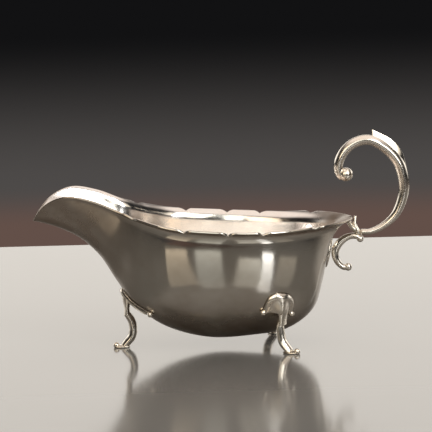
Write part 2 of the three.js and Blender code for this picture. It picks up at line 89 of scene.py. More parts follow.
camera_data = bpy.data.cameras.new("camera")
camera_data.lens = LENS
camera_data.sensor_width = SENSOR
camera = bpy.data.objects.new("camera", camera_data)
bpy.context.scene.collection.objects.link(camera)
placing = Matrix(camera_axes()).transposed().to_4x4()
placing.translation = Vector(EYE)
camera.matrix_world = placing
bpy.context.scene.camera = camera
print("angle of view:", round(math.degrees(camera_data.angle), 1), "degrees")

# %% [markdown]
# ## Smooth lines
# A form here is drawn by a few points that it passes through, as a draughtsman bends a batten round pins. A
# Bezier curve object would need two handles for each point. A Catmull-Rom line works its slopes out by
# itself, and its knots are spaced by the square root of the distance between them, so it doesn't loop at
# tight bends.

# %% Lines through points
MM = 0.001
SAME_PLACE = 1e-4


def smooth_line(points, share, closed=False):
    """Points at the given shares of a centripetal Catmull-Rom line.

    Each span is a cubic between two points. Its end slopes come from the three points around each end,
    divided by the square roots of the distances between them.
    """
    points = np.asarray(points, float)
    count = len(points)
    share = np.atleast_1d(np.asarray(share, float))
    spans = count if closed else count - 1
    place = np.clip(share, 0.0, 1.0) * spans
    span = np.minimum(np.floor(place).astype(int), spans - 1)
    part = (place - span)[:, None]
    if closed:
        before, start, end, after = (points[(span + k) % count] for k in (-1, 0, 1, 2))
    else:
        longer = np.vstack([2 * points[0] - points[1], points, 2 * points[-1] - points[-2]])
        before, start, end, after = (longer[span + k] for k in (0, 1, 2, 3))

    def knot(a, b):
        return np.sqrt(np.linalg.norm(b - a, axis=1))[:, None]

    knot_in, knot_mid, knot_out = knot(before, start), knot(start, end), knot(end, after)
    knot_mid = np.where(knot_mid < SAME_PLACE, 1.0, knot_mid)
    knot_in = np.where(knot_in < SAME_PLACE, knot_mid, knot_in)
    knot_out = np.where(knot_out < SAME_PLACE, knot_mid, knot_out)
    slope_in = ((start - before) / knot_in - (end - before) / (knot_in + knot_mid)
                + (end - start) / knot_mid) * knot_mid
    slope_out = ((end - start) / knot_mid - (after - start) / (knot_mid + knot_out)
                 + (after - end) / knot_out) * knot_mid
    square = -3 * start + 3 * end - 2 * slope_in - slope_out
    cube = 2 * start - 2 * end + slope_in + slope_out
    return start + slope_in * part + square * part ** 2 + cube * part ** 3


square_corners = [(0, 0), (1, 0), (1, 1), (0, 1)]
bulge = smooth_line(square_corners, 0.125, closed=True)[0]
print("a closed line through a unit square's corners passes", bulge.round(3), "halfway along one side")

# %% Even steps and soft steps
FINE_STEPS = 1200


def even_line(points, rows):
    """The same line at rows places that are evenly spaced along its length, and its unit tangents there."""
    fine = smooth_line(points, np.linspace(0, 1, FINE_STEPS))
    run = np.concatenate([[0], np.cumsum(np.linalg.norm(np.diff(fine, axis=0), axis=1))])
    wanted = np.linspace(0, run[-1], rows)
    line = np.stack([np.interp(wanted, run, fine[:, k]) for k in range(fine.shape[1])], axis=1)
    tangent = np.gradient(line, axis=0)
    return line, tangent / np.linalg.norm(tangent, axis=1)[:, None]


def smooth_step(value, low, high):
    """0 below low, 1 above high, and between them 3t^2 - 2t^3."""
    t = np.clip((np.asarray(value, float) - low) / (high - low), 0, 1)
    return t * t * (3 - 2 * t)


def mix(low, high, share):
    """The value that lies a share of the way from low to high."""
    return low + (high - low) * share


print("a soft step at quarters of its way:", smooth_step([0, 0.25, 0.5, 0.75, 1], 0, 1).round(3))

# %% [markdown]
# ## From grids to pieces
# A surface is a grid of points, with rows along it and closed loops round it. Subdividing a rough box
# would round its edges where it liked, and a grid puts every point where the formula says. A skin closes
# by drawing its first and last rows into a point, and doubles are merged there.

# %% Grids of points to meshes
MERGE_DISTANCE = 1e-7


def grid_faces(rows, columns, start=0):
    """Quads of a grid of closed loops: (row, column), (row, column + 1) and the same two one row on."""
    row = np.arange(rows - 1)[:, None]
    column = np.arange(columns)[None, :]
    after = (column + 1) % columns
    quads = np.stack([row * columns + column, row * columns + after,
                      (row + 1) * columns + after, (row + 1) * columns + column], axis=-1)
    return quads.reshape(-1, 4) + start


def shell(name, grids, node, finish, lining=None, lined=()):
    """One mesh from closed skins in millimetres. Doubles merge, so ends that shrink to a point are closed.

    The faces whose column is in lined take the second finish, lining.
    """
    corners, faces, start = [], [], 0
    for grid in grids:
        rows, columns = grid.shape[:2]
        corners.append(grid.reshape(-1, 3))
        faces.append(grid_faces(rows, columns, start))
        start += rows * columns
    mesh = bpy.data.meshes.new(name)
    mesh.from_pydata((np.vstack(corners) * MM).tolist(), [], np.vstack(faces).tolist())
    mesh.materials.append(finish)
    if lining:
        mesh.materials.append(lining)
        column = np.arange(len(mesh.polygons)) % grids[0].shape[1]
        mesh.polygons.foreach_set("material_index", np.isin(column, lined).astype(np.int32))
    edit = bmesh.new()
    edit.from_mesh(mesh)
    bmesh.ops.remove_doubles(edit, verts=edit.verts, dist=MERGE_DISTANCE)
    bmesh.ops.dissolve_degenerate(edit, edges=edit.edges, dist=MERGE_DISTANCE)
    bmesh.ops.recalc_face_normals(edit, faces=edit.faces)
    edit.to_mesh(mesh)
    edit.free()
    mesh.polygons.foreach_set("use_smooth", np.ones(len(mesh.polygons), bool))
    piece = bpy.data.objects.new(name, mesh)
    bpy.context.scene.collection.objects.link(piece)
    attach(piece, "root")
    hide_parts(node)
    print(name, len(mesh.polygons), "faces")


print("3 loops of 4 points make", len(grid_faces(3, 4)), "quads")

# %% [markdown]
# ## The hull
# A smith raises a boat like this from one flat sheet of silver. Hammering it over stakes draws the sides up
# and out, and the rim is turned outwards last. A box or a sphere pulled into shape would lose the line of
# the keel. So one surface holds the whole form, between a keel line along the bottom and a rim line around
# the top.

# %% Lines of the hull, in millimetres
SPOUT_REACH = 85.0
TAIL_REACH = 58.6
BEAM = 81.6
DEPTH = 52.0
BELLY_HEIGHT = 4.3
SHEET = 1.0
SEAM = 0.3
KEEL = [(-1, 1.05), (-0.947, 1.031), (-0.859, 0.983), (-0.753, 0.892), (-0.653, 0.737), (-0.572, 0.525),
        (-0.48, 0.308), (-0.324, 0.113), (-0.094, 0), (0.205, 0.006), (0.486, 0.058), (0.686, 0.225),
        (0.761, 0.465), (0.811, 0.763), (0.86, 0.929), (1, 0.998)]
RIM = [(-1, 0, 1.05), (-0.979, 0.186, 1.11), (-0.918, 0.373, 1.221), (-0.806, 0.51, 1.287),
       (-0.671, 0.554, 1.244), (-0.547, 0.588, 1.16), (-0.429, 0.74, 1.094), (-0.271, 0.922, 1.033),
       (-0.059, 1, 1), (0.222, 0.975, 0.981), (0.486, 0.858, 0.977), (0.683, 0.716, 0.987),
       (0.828, 0.551, 0.992), (0.922, 0.358, 0.994), (0.98, 0.172, 0.994), (1, 0, 0.998)]


def at_length(share):
    """X at a share of the reach: forwards to the spout below 0, backwards to the tail above 0."""
    return share * (SPOUT_REACH if share < 0 else TAIL_REACH)


def at_height(share):
    """Z at a share of the depth, from the belly up."""
    return BELLY_HEIGHT + share * DEPTH


keel_points = np.array([(at_length(along), 0, at_height(up)) for along, up in KEEL])
rim_points = np.array([(at_length(along), across * BEAM / 2, at_height(up)) for along, across, up in RIM])
rim_round = np.vstack([rim_points, (rim_points * (1, -1, 1))[-2:0:-1]])
print("the rim climbs", round(float(np.ptp(rim_points[:, 2])), 1), "mm from its lowest point to its highest")

# %% [markdown]
# ## The lip
# The rim of the real boat is turned out to stiffen it, and cut in brackets, which are small V notches with
# soft shoulders. Cutting the notches out with Boolean tools would leave a raw edge. Here the lip is stopped
# short where a notch is, so the surface stays whole. At the spout the lip is almost flat, for a clean pour.

# %% Lip and notches
LIP_START = 0.8
LIP_WIDTH = 2.4
LIP_TAIL_WIDTH = 5.5
LIP_TAIL_FROM = 0.55
LIP_TAIL_TO = 0.85
LIP_RISE = 5.0
LIP_BEND = 0.7
LIP_FADE = 12.0
SPOUT_LIP = 0.25
SPOUT_FROM = 0.13
SPOUT_TO = 0.5
NOTCHES = np.array([at_length(along) for along in (-0.47, -0.203, 0.041, 0.31, 0.717)])
NOTCH_DEPTH = 1.6
NOTCH_HALF = 3.2
NOTCH_SHARPNESS = 1.6
RIM_STEP = 1e-3


def rim_outward(u):
    """Level unit vectors square to the rim line: the line's direction, turned a quarter outwards."""
    ahead = smooth_line(rim_round, np.clip(u + RIM_STEP, 0, 1) / 2, closed=True)
    behind = smooth_line(rim_round, np.clip(u - RIM_STEP, 0, 1) / 2, closed=True)
    along = ahead - behind
    out = np.stack([-along[:, 1], along[:, 0], np.zeros(len(u))], axis=1)
    return out / np.linalg.norm(out, axis=1)[:, None]


def lip_foot(u, keel, edge):
    """Where the wall ends and the lip starts, its rise to the edge, and how much of it is left, 0 to 1.

    What is left is 1 - e^(-distance / LIP_FADE), so the lip fades where the edge comes near the keel line.
    At the spout it is SPOUT_LIP of that.
    """
    turned_out = mix(SPOUT_LIP, 1.0, smooth_step(u, SPOUT_FROM, SPOUT_TO))
    fade = turned_out * (1 - np.exp(-np.linalg.norm(edge - keel, axis=1) / LIP_FADE))
    rise = LIP_RISE * turned_out * (1 - np.exp(-(edge[:, 2] - keel[:, 2]) / LIP_FADE))
    width = mix(LIP_WIDTH, LIP_TAIL_WIDTH, smooth_step(u, LIP_TAIL_FROM, LIP_TAIL_TO)) * fade
    wall = edge - rim_outward(u) * width[:, None]
    wall[:, 2] -= rise
    return wall, rise, fade


def lip_section(wall, bend, edge, height, fade):
    """From the wall over a bend to the edge: a quadratic Bezier, stopped short where a notch is cut.

    A notch is NOTCH_DEPTH (1 - distance / NOTCH_HALF) ** NOTCH_SHARPNESS deep.
    """
    length = np.linalg.norm(edge - wall, axis=1)
    nearest = np.min(np.abs(edge[:, :1] - NOTCHES), axis=1)
    cut = NOTCH_DEPTH * np.clip(1 - nearest / NOTCH_HALF, 0, 1) ** NOTCH_SHARPNESS
    part = np.clip((height - LIP_START) / (1 - LIP_START), 0, 1)
    part = (part * (1 - fade * cut / np.maximum(length, 2 * NOTCH_DEPTH)))[:, None]
    return wall * (1 - part) ** 2 + 2 * bend * part * (1 - part) + edge * part ** 2


print("notches at X =", NOTCHES.round(1), "mm on both sides")

# %% [markdown]
# ## Sections of the hull
# Cut across, the bowl leaves the keel level and climbs as a quarter of an ellipse, and the spout's wall
# leans out instead. A loft between a few drawn sections could do that. A formula was chosen, because every
# piece that sits on the hull can then ask it for a place and for the way the surface faces.

# %% Surface of the hull
SPOUT_TURN = 0.62
NO_LENGTH = 1e-9


def wall_section(keel, wall, height, full):
    """From the keel to the lip: keel + climb (1 - cos) + side sin of a turn, each divided by its last value.

    Also gives the unit direction in which the wall ends.
    """
    climb = (wall - keel) * (1, 0, 1)
    turn = np.minimum(height, LIP_START) / LIP_START * full
    lower = keel + climb * ((1 - np.cos(turn)) / (1 - np.cos(full)))[:, None]
    lower[:, 1] = wall[:, 1] * np.sin(turn) / np.sin(full)
    steep = climb * (np.sin(full) / (1 - np.cos(full)))[:, None]
    steep[:, 1] = wall[:, 1] * np.cos(full) / np.sin(full)
    return lower, steep / np.maximum(np.linalg.norm(steep, axis=1), NO_LENGTH)[:, None]


def hull(u, v):
    """The outer face. u runs from the spout's tip to the tail, and v from one rim at -1 to the other at 1.

    v = 0 is the keel. Up to |v| = LIP_START a section is the wall, whose full turn is a quarter turn along
    the bowl and SPOUT_TURN of it at the spout. Above that it is the lip.
    """
    u, v = np.broadcast_arrays(np.asarray(u, float), np.asarray(v, float))
    shape = u.shape
    u, v = u.ravel(), v.ravel()
    height = np.abs(v)
    keel = smooth_line(keel_points, u)
    edge = smooth_line(rim_round, u / 2, closed=True)
    wall, rise, fade = lip_foot(u, keel, edge)
    full = mix(SPOUT_TURN, 1.0, smooth_step(u, SPOUT_FROM, SPOUT_TO)) * math.pi / 2
    lower, steep = wall_section(keel, wall, height, full)
    bend = wall + steep * (LIP_BEND * rise)[:, None]
    upper = lip_section(wall, bend, edge, height, fade)
    point = np.where((height <= LIP_START)[:, None], lower, upper)
    point[:, 1] *= np.where(v < 0, -1, 1)
    return point.reshape(shape + (3,))


print("the tail's edge is at", hull(1.0, 0.0).round(1), "mm")

# %% Places on the hull
NORMAL_STEP = 2e-3
SEARCH_STEP = 1e-4
SEARCH_ROUNDS = 16
SEARCH_U = (0.02, 0.98)
SEARCH_V = (-0.97, 0.97)


def hull_normal(u, v):
    """The outward normal: the cross product of two short steps over the surface."""
    u = np.clip(u, NORMAL_STEP, 1 - NORMAL_STEP)
    v = np.clip(v, -1 + NORMAL_STEP, 1 - NORMAL_STEP)
    along = hull(u + NORMAL_STEP, v) - hull(u - NORMAL_STEP, v)
    across = hull(u, v + NORMAL_STEP) - hull(u, v - NORMAL_STEP)
    normal = -np.cross(along, across)
    return normal / np.linalg.norm(normal, axis=-1, keepdims=True)


def over_hull(u, v, height):
    """Points at a height over the outer face."""
    return hull(u, v) + hull_normal(u, v) * np.asarray(height)[..., None]


def hull_find(target, axes, guess):
    """The (u, v) where two coordinates of the hull have given values, by Newton's method on whole arrays."""
    target = np.asarray(target, float)
    u = np.full(target.shape[:-1], guess[0], float)
    v = np.full(target.shape[:-1], guess[1], float)
    for _ in range(SEARCH_ROUNDS):
        here = hull(u, v)[..., axes] - target
        du = (hull(u + SEARCH_STEP, v)[..., axes] - target - here) / SEARCH_STEP
        dv = (hull(u, v + SEARCH_STEP)[..., axes] - target - here) / SEARCH_STEP
        area = du[..., 0] * dv[..., 1] - du[..., 1] * dv[..., 0]
        u = np.clip(u - (here[..., 0] * dv[..., 1] - here[..., 1] * dv[..., 0]) / area, *SEARCH_U)
        v = np.clip(v - (here[..., 1] * du[..., 0] - here[..., 0] * du[..., 1]) / area, *SEARCH_V)
    return u, v


middle_u, middle_v = hull_find([0.0, 20.0], [0, 1], (0.5, 0.3))
print("X 0, Y 20 is at u", round(float(middle_u), 3), "and v", round(float(middle_v), 3))

# %% [markdown]
# ## What age does to silver
# Polished silver has almost no colour of its own: it is a mirror, faintly warm. What tells it from chrome is
# wear. A painted picture of wear would repeat or stretch, so each effect is worked out from the place in
# space, as a node group that is made once, and every silver finish takes it with its own strength.

# %% Tools for node groups


def effect_group(name, output):
    """An empty shader node group that takes a Position and gives one number over the surface."""
    group = bpy.data.node_groups.new(name, "ShaderNodeTree")
    group.interface.new_socket(name="Position", in_out="INPUT", socket_type="NodeSocketVector")
    group.interface.new_socket(name=output, in_out="OUTPUT", socket_type="NodeSocketFloat")
    position = group.nodes.new("NodeGroupInput").outputs["Position"]
    return group, position, group.nodes.new("NodeGroupOutput").inputs[output]


def noise(tree, position, scale, detail, rough=0.55, stretch=(1, 1, 1)):
    """A noise texture on Object coordinates, stretched by a Mapping node; gives its 0 to 1 value."""
    mapping = tree.nodes.new("ShaderNodeMapping")
    mapping.inputs["Scale"].default_value = stretch
    texture = tree.nodes.new("ShaderNodeTexNoise")
    texture.inputs["Scale"].default_value = scale
    texture.inputs["Detail"].default_value = detail
    texture.inputs["Roughness"].default_value = rough
    tree.links.new(position, mapping.inputs["Vector"])
    tree.links.new(mapping.outputs["Vector"], texture.inputs["Vector"])
    return texture.outputs["Fac"]


def remap(tree, value, given, wanted=(0.0, 1.0)):
    """Moves a given range of values to the wanted one, smoothly and without overshoot."""
    node = tree.nodes.new("ShaderNodeMapRange")
    node.interpolation_type = "SMOOTHSTEP"
    for label, number in zip(("From Min", "From Max", "To Min", "To Max"), (*given, *wanted)):
        node.inputs[label].default_value = number
    tree.links.new(value, node.inputs["Value"])
    return node.outputs["Result"]


def maths(tree, operation, first, second):
    """One Math node; an input may be a socket or a number."""
    node = tree.nodes.new("ShaderNodeMath")
    node.operation = operation
    for place, value in enumerate((first, second)):
        if isinstance(value, float):
            node.inputs[place].default_value = value
        else:
            tree.links.new(value, node.inputs[place])
    return node.outputs[0]


def weighted(tree, first, second, share):
    """share times the first value, plus what is left of 1 times the second."""
    rest = maths(tree, "MULTIPLY", second, 1 - share)
    return maths(tree, "ADD", maths(tree, "MULTIPLY", first, share), rest)


print("a group is made of noise, remap, maths and weighted")

# %% Rub marks, haze and hammer marks


def rub_marks():
    """Fine marks of years of polishing: long thin streaks that follow the boat, as a 0 to 1 height."""
    group, position, height = effect_group("rub_marks", "Height")
    long_marks = noise(group, position, scale=900.0, detail=2.0, rough=0.6, stretch=(0.12, 1.0, 1.0))
    cross_marks = noise(group, position, scale=700.0, detail=2.0, rough=0.6, stretch=(1.0, 1.0, 0.15))
    group.links.new(weighted(group, long_marks, cross_marks, share=0.6), height)
    return group


def cloudiness():
    """Soft patches of haze and handling, centimetres wide, as a 0 to 1 value."""
    group, position, haze = effect_group("cloudiness", "Haze")
    broad = noise(group, position, scale=38.0, detail=5.0, rough=0.6)
    fine = noise(group, position, scale=240.0, detail=3.0, rough=0.5)
    both = weighted(group, broad, fine, share=0.75)
    group.links.new(remap(group, both, given=(0.38, 0.66)), haze)
    return group


def planishing():
    """The smith's last hammer marks: shallow facets a few millimetres wide, as a 0 to 1 height."""
    group, position, height = effect_group("planishing", "Height")
    facets = group.nodes.new("ShaderNodeTexVoronoi")
    facets.feature = "SMOOTH_F1"
    facets.inputs["Scale"].default_value = 150.0
    facets.inputs["Smoothness"].default_value = 0.8
    group.links.new(position, facets.inputs["Vector"])
    group.links.new(facets.outputs["Distance"], height)
    return group


EFFECTS = {"marks": rub_marks(), "clouds": cloudiness(), "hammer": planishing()}
print("effects of use and making:", sorted(EFFECTS))

# %% [markdown]
# ## Painted shade
# Brown is painted where shade and dark reflections fall: painted shade in tight corners and under the belly,
# and painted dark reflections at the tail and outside the spout. One mask painted by hand would fit one
# piece only. Here each place has its own mask, from what is near, which way the surface faces, or how far
# along the boat it lies.

# %% Four kinds of painted shade
# How far the painted corner shade looks for what stands near, in mm.
CORNER_REACH = 4.0
# X spans, in mm, of the painted dark reflections at the tail and at the spout.
TAIL_PAINTED_REFLECTION = (40.0, 51.0)
SPOUT_PAINTED_REFLECTION = (-62.0, -24.0)


def broken_up(group, mask, position, scale, detail, patches, least):
    """A mask broken up by noise: the range patches of the noise leaves from a least share of it to all."""
    patchy = remap(group, noise(group, position, scale, detail), patches, (least, 1.0))
    return maths(group, "MULTIPLY", mask, patchy)


def part_of(group, vector, axis):
    """One coordinate of a vector."""
    split = group.nodes.new("ShaderNodeSeparateXYZ")
    group.links.new(vector, split.inputs["Vector"])
    return split.outputs[axis]


def corner_painted_shade():
    """Painted shade in tight corners: 1 in a tight corner and 0 in the open, from what stands near."""
    group, position, painted_shade = effect_group("corner_painted_shade", "PaintedShade")
    shelter = group.nodes.new("ShaderNodeAmbientOcclusion")
    shelter.samples = 8
    shelter.inputs["Distance"].default_value = CORNER_REACH * MM
    deep = remap(group, shelter.outputs["AO"], given=(0.35, 0.92), wanted=(1.0, 0.0))
    patchy = broken_up(group, deep, position, scale=320.0, detail=3.0, patches=(0.3, 0.6), least=0.45)
    group.links.new(patchy, painted_shade)
    return group


def underside_painted_shade():
    """Painted shade on what faces the table: 1 under the belly and 0 on the walls."""
    group, position, painted_shade = effect_group("underside_painted_shade", "PaintedShade")
    facing = group.nodes.new("ShaderNodeNewGeometry").outputs["Normal"]
    below = remap(group, part_of(group, facing, "Z"), given=(-0.85, -0.4), wanted=(1.0, 0.0))
    patchy = broken_up(group, below, position, scale=60.0, detail=4.0, patches=(0.35, 0.65), least=0.7)
    group.links.new(patchy, painted_shade)
    return group


def end_painted_reflection(name, along, shares, scale, least):
    """Painted dark reflection at one end: X over the range along, in millimetres, runs through the two
    shares.
    """
    group, position, painted_shade = effect_group(name, "PaintedShade")
    near_end = remap(group, part_of(group, position, "X"), given=[x * MM for x in along], wanted=shares)
    patchy = broken_up(group, near_end, position, scale, detail=4.0, patches=(0.3, 0.65), least=least)
    group.links.new(patchy, painted_shade)
    return group


# Places where shade and dark reflections are painted brown.
PAINTED_SHADES = {"corners": corner_painted_shade(), "underside": underside_painted_shade(),
          "tail": end_painted_reflection("tail_painted_reflection", TAIL_PAINTED_REFLECTION, shares=(0.0, 1.0), scale=90.0, least=0.75),
          "spout": end_painted_reflection("spout_painted_reflection", SPOUT_PAINTED_REFLECTION, shares=(1.0, 0.0), scale=70.0, least=0.7)}
EFFECTS.update(PAINTED_SHADES)
print("places with bloom:", sorted(PAINTED_SHADES))

# %% [markdown]
# ## Silver finishes
# The same metal shows four finishes. The outside of the bowl was polished hardest, and its tone is set
# darker than the inside's as painted shade; the inside still shows the hammer, the castings are satin, and
# the leaf on the stern is browned. A finish is a full mirror whose roughness and tone are moved a little by
# the effects, and browned where shade and dark reflections are painted. A grey colour alone would look like
# paint.

# %% Colours and bumps


def blend(tree, first, second, share):
    """A colour that runs from the first to the second as a share goes from 0 to 1."""
    node = tree.nodes.new("ShaderNodeMix")
    node.data_type = "RGBA"
    for label, tone in (("A", first), ("B", second)):
        if isinstance(tone, tuple):
            node.inputs[label].default_value = (*tone, 1)
        else:
            tree.links.new(tone, node.inputs[label])
    tree.links.new(share, node.inputs["Factor"])
    return node.outputs["Result"]


def largest(tree, effect, shares):
    """The largest of several effects, each times its share."""
    result = None
    for label, share in shares.items():
        here = maths(tree, "MULTIPLY", effect[label], share)
        result = maths(tree, "MAXIMUM", result, here) if result else here
    return result


def relief(tree, effect, heights):
    """A normal from bumps laid one over the other, each with its height in millimetres."""
    normal = None
    for label, height in heights.items():
        bump = tree.nodes.new("ShaderNodeBump")
        bump.inputs["Distance"].default_value = height * MM
        tree.links.new(effect[label], bump.inputs["Height"])
        if normal:
            tree.links.new(normal, bump.inputs["Normal"])
        normal = bump.outputs["Normal"]
    return normal


print("a finish is made of blend, largest and relief")

# %% Silver
# Brown painted where shade and dark reflections fall, and the roughness added there.
SHADE_BROWN = (0.22, 0.155, 0.11)
PAINTED_SHADE_ROUGHNESS = 0.3
STREAK = 0.2
MARKS_RANGE = (0.3, 0.7)


def silver(name, tone, cloud_tone, polish, haze, clouds, painted_shades, heights):
    """Polished silver. Its colour is the tone, with cloud_tone in the clouds, and brown as painted shade.

    Roughness is polish, more or less by the share STREAK along the rub marks, plus haze where it is cloudy,
    plus more roughness where the brown shade is painted. The painted-shade argument gives the share of each
    painted shade and dark reflection, and heights that of each bump.
    """
    material = bpy.data.materials.new(name)
    material.use_nodes = True
    tree = material.node_tree
    surface = tree.nodes["Principled BSDF"]
    surface.inputs["Metallic"].default_value = 1.0
    position = tree.nodes.new("ShaderNodeTexCoord").outputs["Object"]
    effect = {}
    for label in sorted({"clouds", "marks", *painted_shades, *heights}):
        node = tree.nodes.new("ShaderNodeGroup")
        node.node_tree = EFFECTS[label]
        tree.links.new(position, node.inputs["Position"])
        effect[label] = node.outputs[0]
    # Painted shade: the largest of the shades and dark reflections painted in brown here.
    painted_shade = largest(tree, effect, painted_shades)
    clean = blend(tree, tone, cloud_tone, maths(tree, "MULTIPLY", effect["clouds"], clouds))
    tree.links.new(blend(tree, clean, SHADE_BROWN, painted_shade), surface.inputs["Base Color"])
    streaks = remap(tree, effect["marks"], MARKS_RANGE, (polish * (1 - STREAK), polish * (1 + STREAK)))
    rough = maths(tree, "ADD", maths(tree, "MULTIPLY", effect["clouds"], haze), streaks)
    rough = maths(tree, "ADD", rough, maths(tree, "MULTIPLY", painted_shade, PAINTED_SHADE_ROUGHNESS))
    tree.links.new(rough, surface.inputs["Roughness"])
    if heights:
        tree.links.new(relief(tree, effect, heights), surface.inputs["Normal"])
    print(name, "uses", sorted(effect))
    return material


# The outer face's tone is set darker than the inner face's as painted shade, for a dark flank. It takes the
# painted shade in corners and underneath, and the painted dark reflections at the tail and the spout.
RAISED_SILVER = silver(
    "raised_silver", tone=(0.71, 0.68, 0.62), cloud_tone=(0.55, 0.5, 0.43), polish=0.065, haze=0.06,
    clouds=0.6, painted_shades={"corners": 1.0, "underside": 0.9, "tail": 0.6, "spout": 0.65},
    heights={"hammer": 0.02, "marks": 0.003})
# The inside takes the painted dark reflection at the tail.
BOWL_SILVER = silver(
    "bowl_silver", tone=(0.97, 0.95, 0.92), cloud_tone=(0.93, 0.85, 0.78), polish=0.15, haze=0.06,
    clouds=0.7, painted_shades={"tail": 0.9}, heights={"hammer": 0.03})
# The castings and the stern leaf take painted shade where they face the table.
CAST_SILVER = silver(
    "cast_silver", tone=(0.98, 0.93, 0.85), cloud_tone=(0.88, 0.78, 0.63), polish=0.2, haze=0.05,
    clouds=0.5, painted_shades={"underside": 0.7}, heights={})
SHADED_SILVER = silver(
    "shaded_silver", tone=(0.93, 0.88, 0.8), cloud_tone=(0.7, 0.6, 0.47), polish=0.24, haze=0.08,
    clouds=0.6, painted_shades={"underside": 0.6}, heights={})

# %% [markdown]
# ## Body
# The sheet is one millimetre thick. A Solidify modifier could thicken it, but its cut edge would be square.
# So the inner face is the outer one moved in by the gauge, and the edge between them is rounded over, as a
# file leaves it, so a thin bright line runs round the rim.

# %% Rows and columns of the body
BODY_ROWS = 250
BODY_COLUMNS = 57
ROW_EASE = 0.4
COLUMN_EASE = 0.5
COLUMN_POWER = 0.75
NOTCH_ROWS = 15
LEAST_STEP = 4e-4
RIM_TABLE = 4000


def rim_station(x):
    """The value of u where the rim passes x, read from a fine table of the rim line."""
    u = np.linspace(0, 1, RIM_TABLE)
    return np.interp(x, smooth_line(rim_round, u / 2, closed=True)[:, 0], u)


def body_rows():
    """Values of u, closer together at both ends, (1 - cos) / 2 by a share, and across each notch."""
    even = np.linspace(0, 1, BODY_ROWS)
    rows = mix(even, (1 - np.cos(math.pi * even)) / 2, ROW_EASE)
    near_notches = [rim_station(place + shift * NOTCH_HALF) for place in NOTCHES
                    for shift in np.linspace(-1, 1, NOTCH_ROWS)]
    rows = np.unique(np.concatenate([rows, near_notches]))
    rows = rows[np.concatenate([[True], np.diff(rows) > LEAST_STEP])]
    rows[-1] = 1.0
    return rows


def body_columns():
    """Values of v from rim to rim, closer together at the lip: half even and half a power of the share."""
    even = np.linspace(0, 1, BODY_COLUMNS)
    half = mix(even, even ** COLUMN_POWER, COLUMN_EASE)
    return np.concatenate([-half[:0:-1], half])


print("the body's grid:", len(body_rows()), "rows of", len(body_columns()), "points on each face")

# %% Body
TIP_SHARE = 0.012
EDGE_BULGE = 0.3
EDGE_COLUMNS = 5
NO_WIDTH = 1e-6


def inner_face(rows, columns):
    """The outer face moved in by the sheet. Its rows stop short at both ends, by TIP_SHARE at the tip."""
    inward = TIP_SHARE * (np.exp(-rows / (2 * TIP_SHARE)) - np.exp(-(1 - rows) / (2 * TIP_SHARE)))
    inner = np.clip(rows + inward, TIP_SHARE, 1 - TIP_SHARE)
    v = np.where(((rows == 0) | (rows == 1))[:, None], 0.0, columns)
    return over_hull(np.broadcast_to(inner[:, None], v.shape), v, np.full(v.shape, -SHEET))


def rounded_edge(outer, inner, next_outer):
    """Points between the two faces, along a half turn that bulges away from the face by EDGE_BULGE."""
    bulge = outer - next_outer
    bulge /= np.maximum(np.linalg.norm(bulge, axis=1), NO_WIDTH)[:, None]
    turn = np.linspace(0, math.pi, EDGE_COLUMNS + 2)[1:-1]
    middle = (outer + inner) / 2
    reach = (outer - inner) / 2
    return np.stack([middle + reach * math.cos(a) + bulge * EDGE_BULGE * math.sin(a) for a in turn], axis=1)


def body_grid():
    """Each row goes over the outer face, round one edge, back over the inner face and round the other."""
    rows, columns = body_rows(), body_columns()
    u, v = np.meshgrid(rows, columns, indexing="ij")
    outside = hull(u, v)
    inside = inner_face(rows, v)
    near, far = (rounded_edge(outside[:, rim], inside[:, rim], outside[:, beside])
                 for rim, beside in ((-1, -2), (0, 1)))
    return np.concatenate([outside, near, inside[:, ::-1], far[:, ::-1]], axis=1)


face_columns = len(body_columns())
inner_columns = np.arange(face_columns + EDGE_COLUMNS, 2 * face_columns + EDGE_COLUMNS)
shell("raised_body", [body_grid()], "body", RAISED_SILVER, BOWL_SILVER, inner_columns)

# %% [markdown]
# ## Cast scrolls
# The handle, its bracket and the legs are castings, filed up and soldered on. Their section is a cushion
# with a ridge along each side, which splits them into a light and a dark band. A curve object with a bevel
# would keep one section all along. Here it is carried along a line, thick and wide where a formula says.

# %% Sections
RIDGE_POWER = 0.4
RIDGE_SPACING = 0.85
WEDGE_POWER = 0.9


def ridged_section(points=15):
    """Corners (thickness, width), with the width (1 - |thickness|) ** RIDGE_POWER to either side."""
    a = np.cos(np.linspace(0, math.pi, points))
    a = np.sign(a) * np.abs(a) ** RIDGE_SPACING
    b = np.maximum(1 - np.abs(a), 0) ** RIDGE_POWER
    return np.concatenate([np.stack([a, b], 1), np.stack([a[-2:0:-1], -b[-2:0:-1]], 1)])


def round_section(points=24):
    """Corners of a circle."""
    turn = np.linspace(0, 2 * math.pi, points, endpoint=False)
    return np.stack([np.cos(turn), np.sin(turn)], 1)


def wedge_section(points=12):
    """Corners of a wedge with a soft edge: width = share ** WEDGE_POWER, and the share is 0 at the edge."""
    share = np.linspace(0, 1, points) ** 2
    side = np.stack([1 - 2 * share, share ** WEDGE_POWER], 1)
    return np.concatenate([side, (side * (1, -1))[:0:-1]])


sections = (ridged_section(), round_section(), wedge_section())
print("corners of a ridged, a round and a wedge section:", [len(section) for section in sections])

# %% Widths along a line


def taper(start, end, power=1):
    """A width that goes from start to end as a power of the share."""
    def width(t):
        return mix(start, end, t ** power)
    return width


def swell(ends, middle, power=1):
    """A width that goes from the ends to the middle as a power of sin(pi share)."""
    def width(t):
        return mix(ends, middle, np.sin(math.pi * t) ** power)
    return width


print("a taper from 4 to 2 mm at its quarters:", taper(4.0, 2.0)(np.linspace(0, 1, 5)))

# %% Skins along a line
SIDEWAYS = np.array([0.0, 1.0, 0.0])


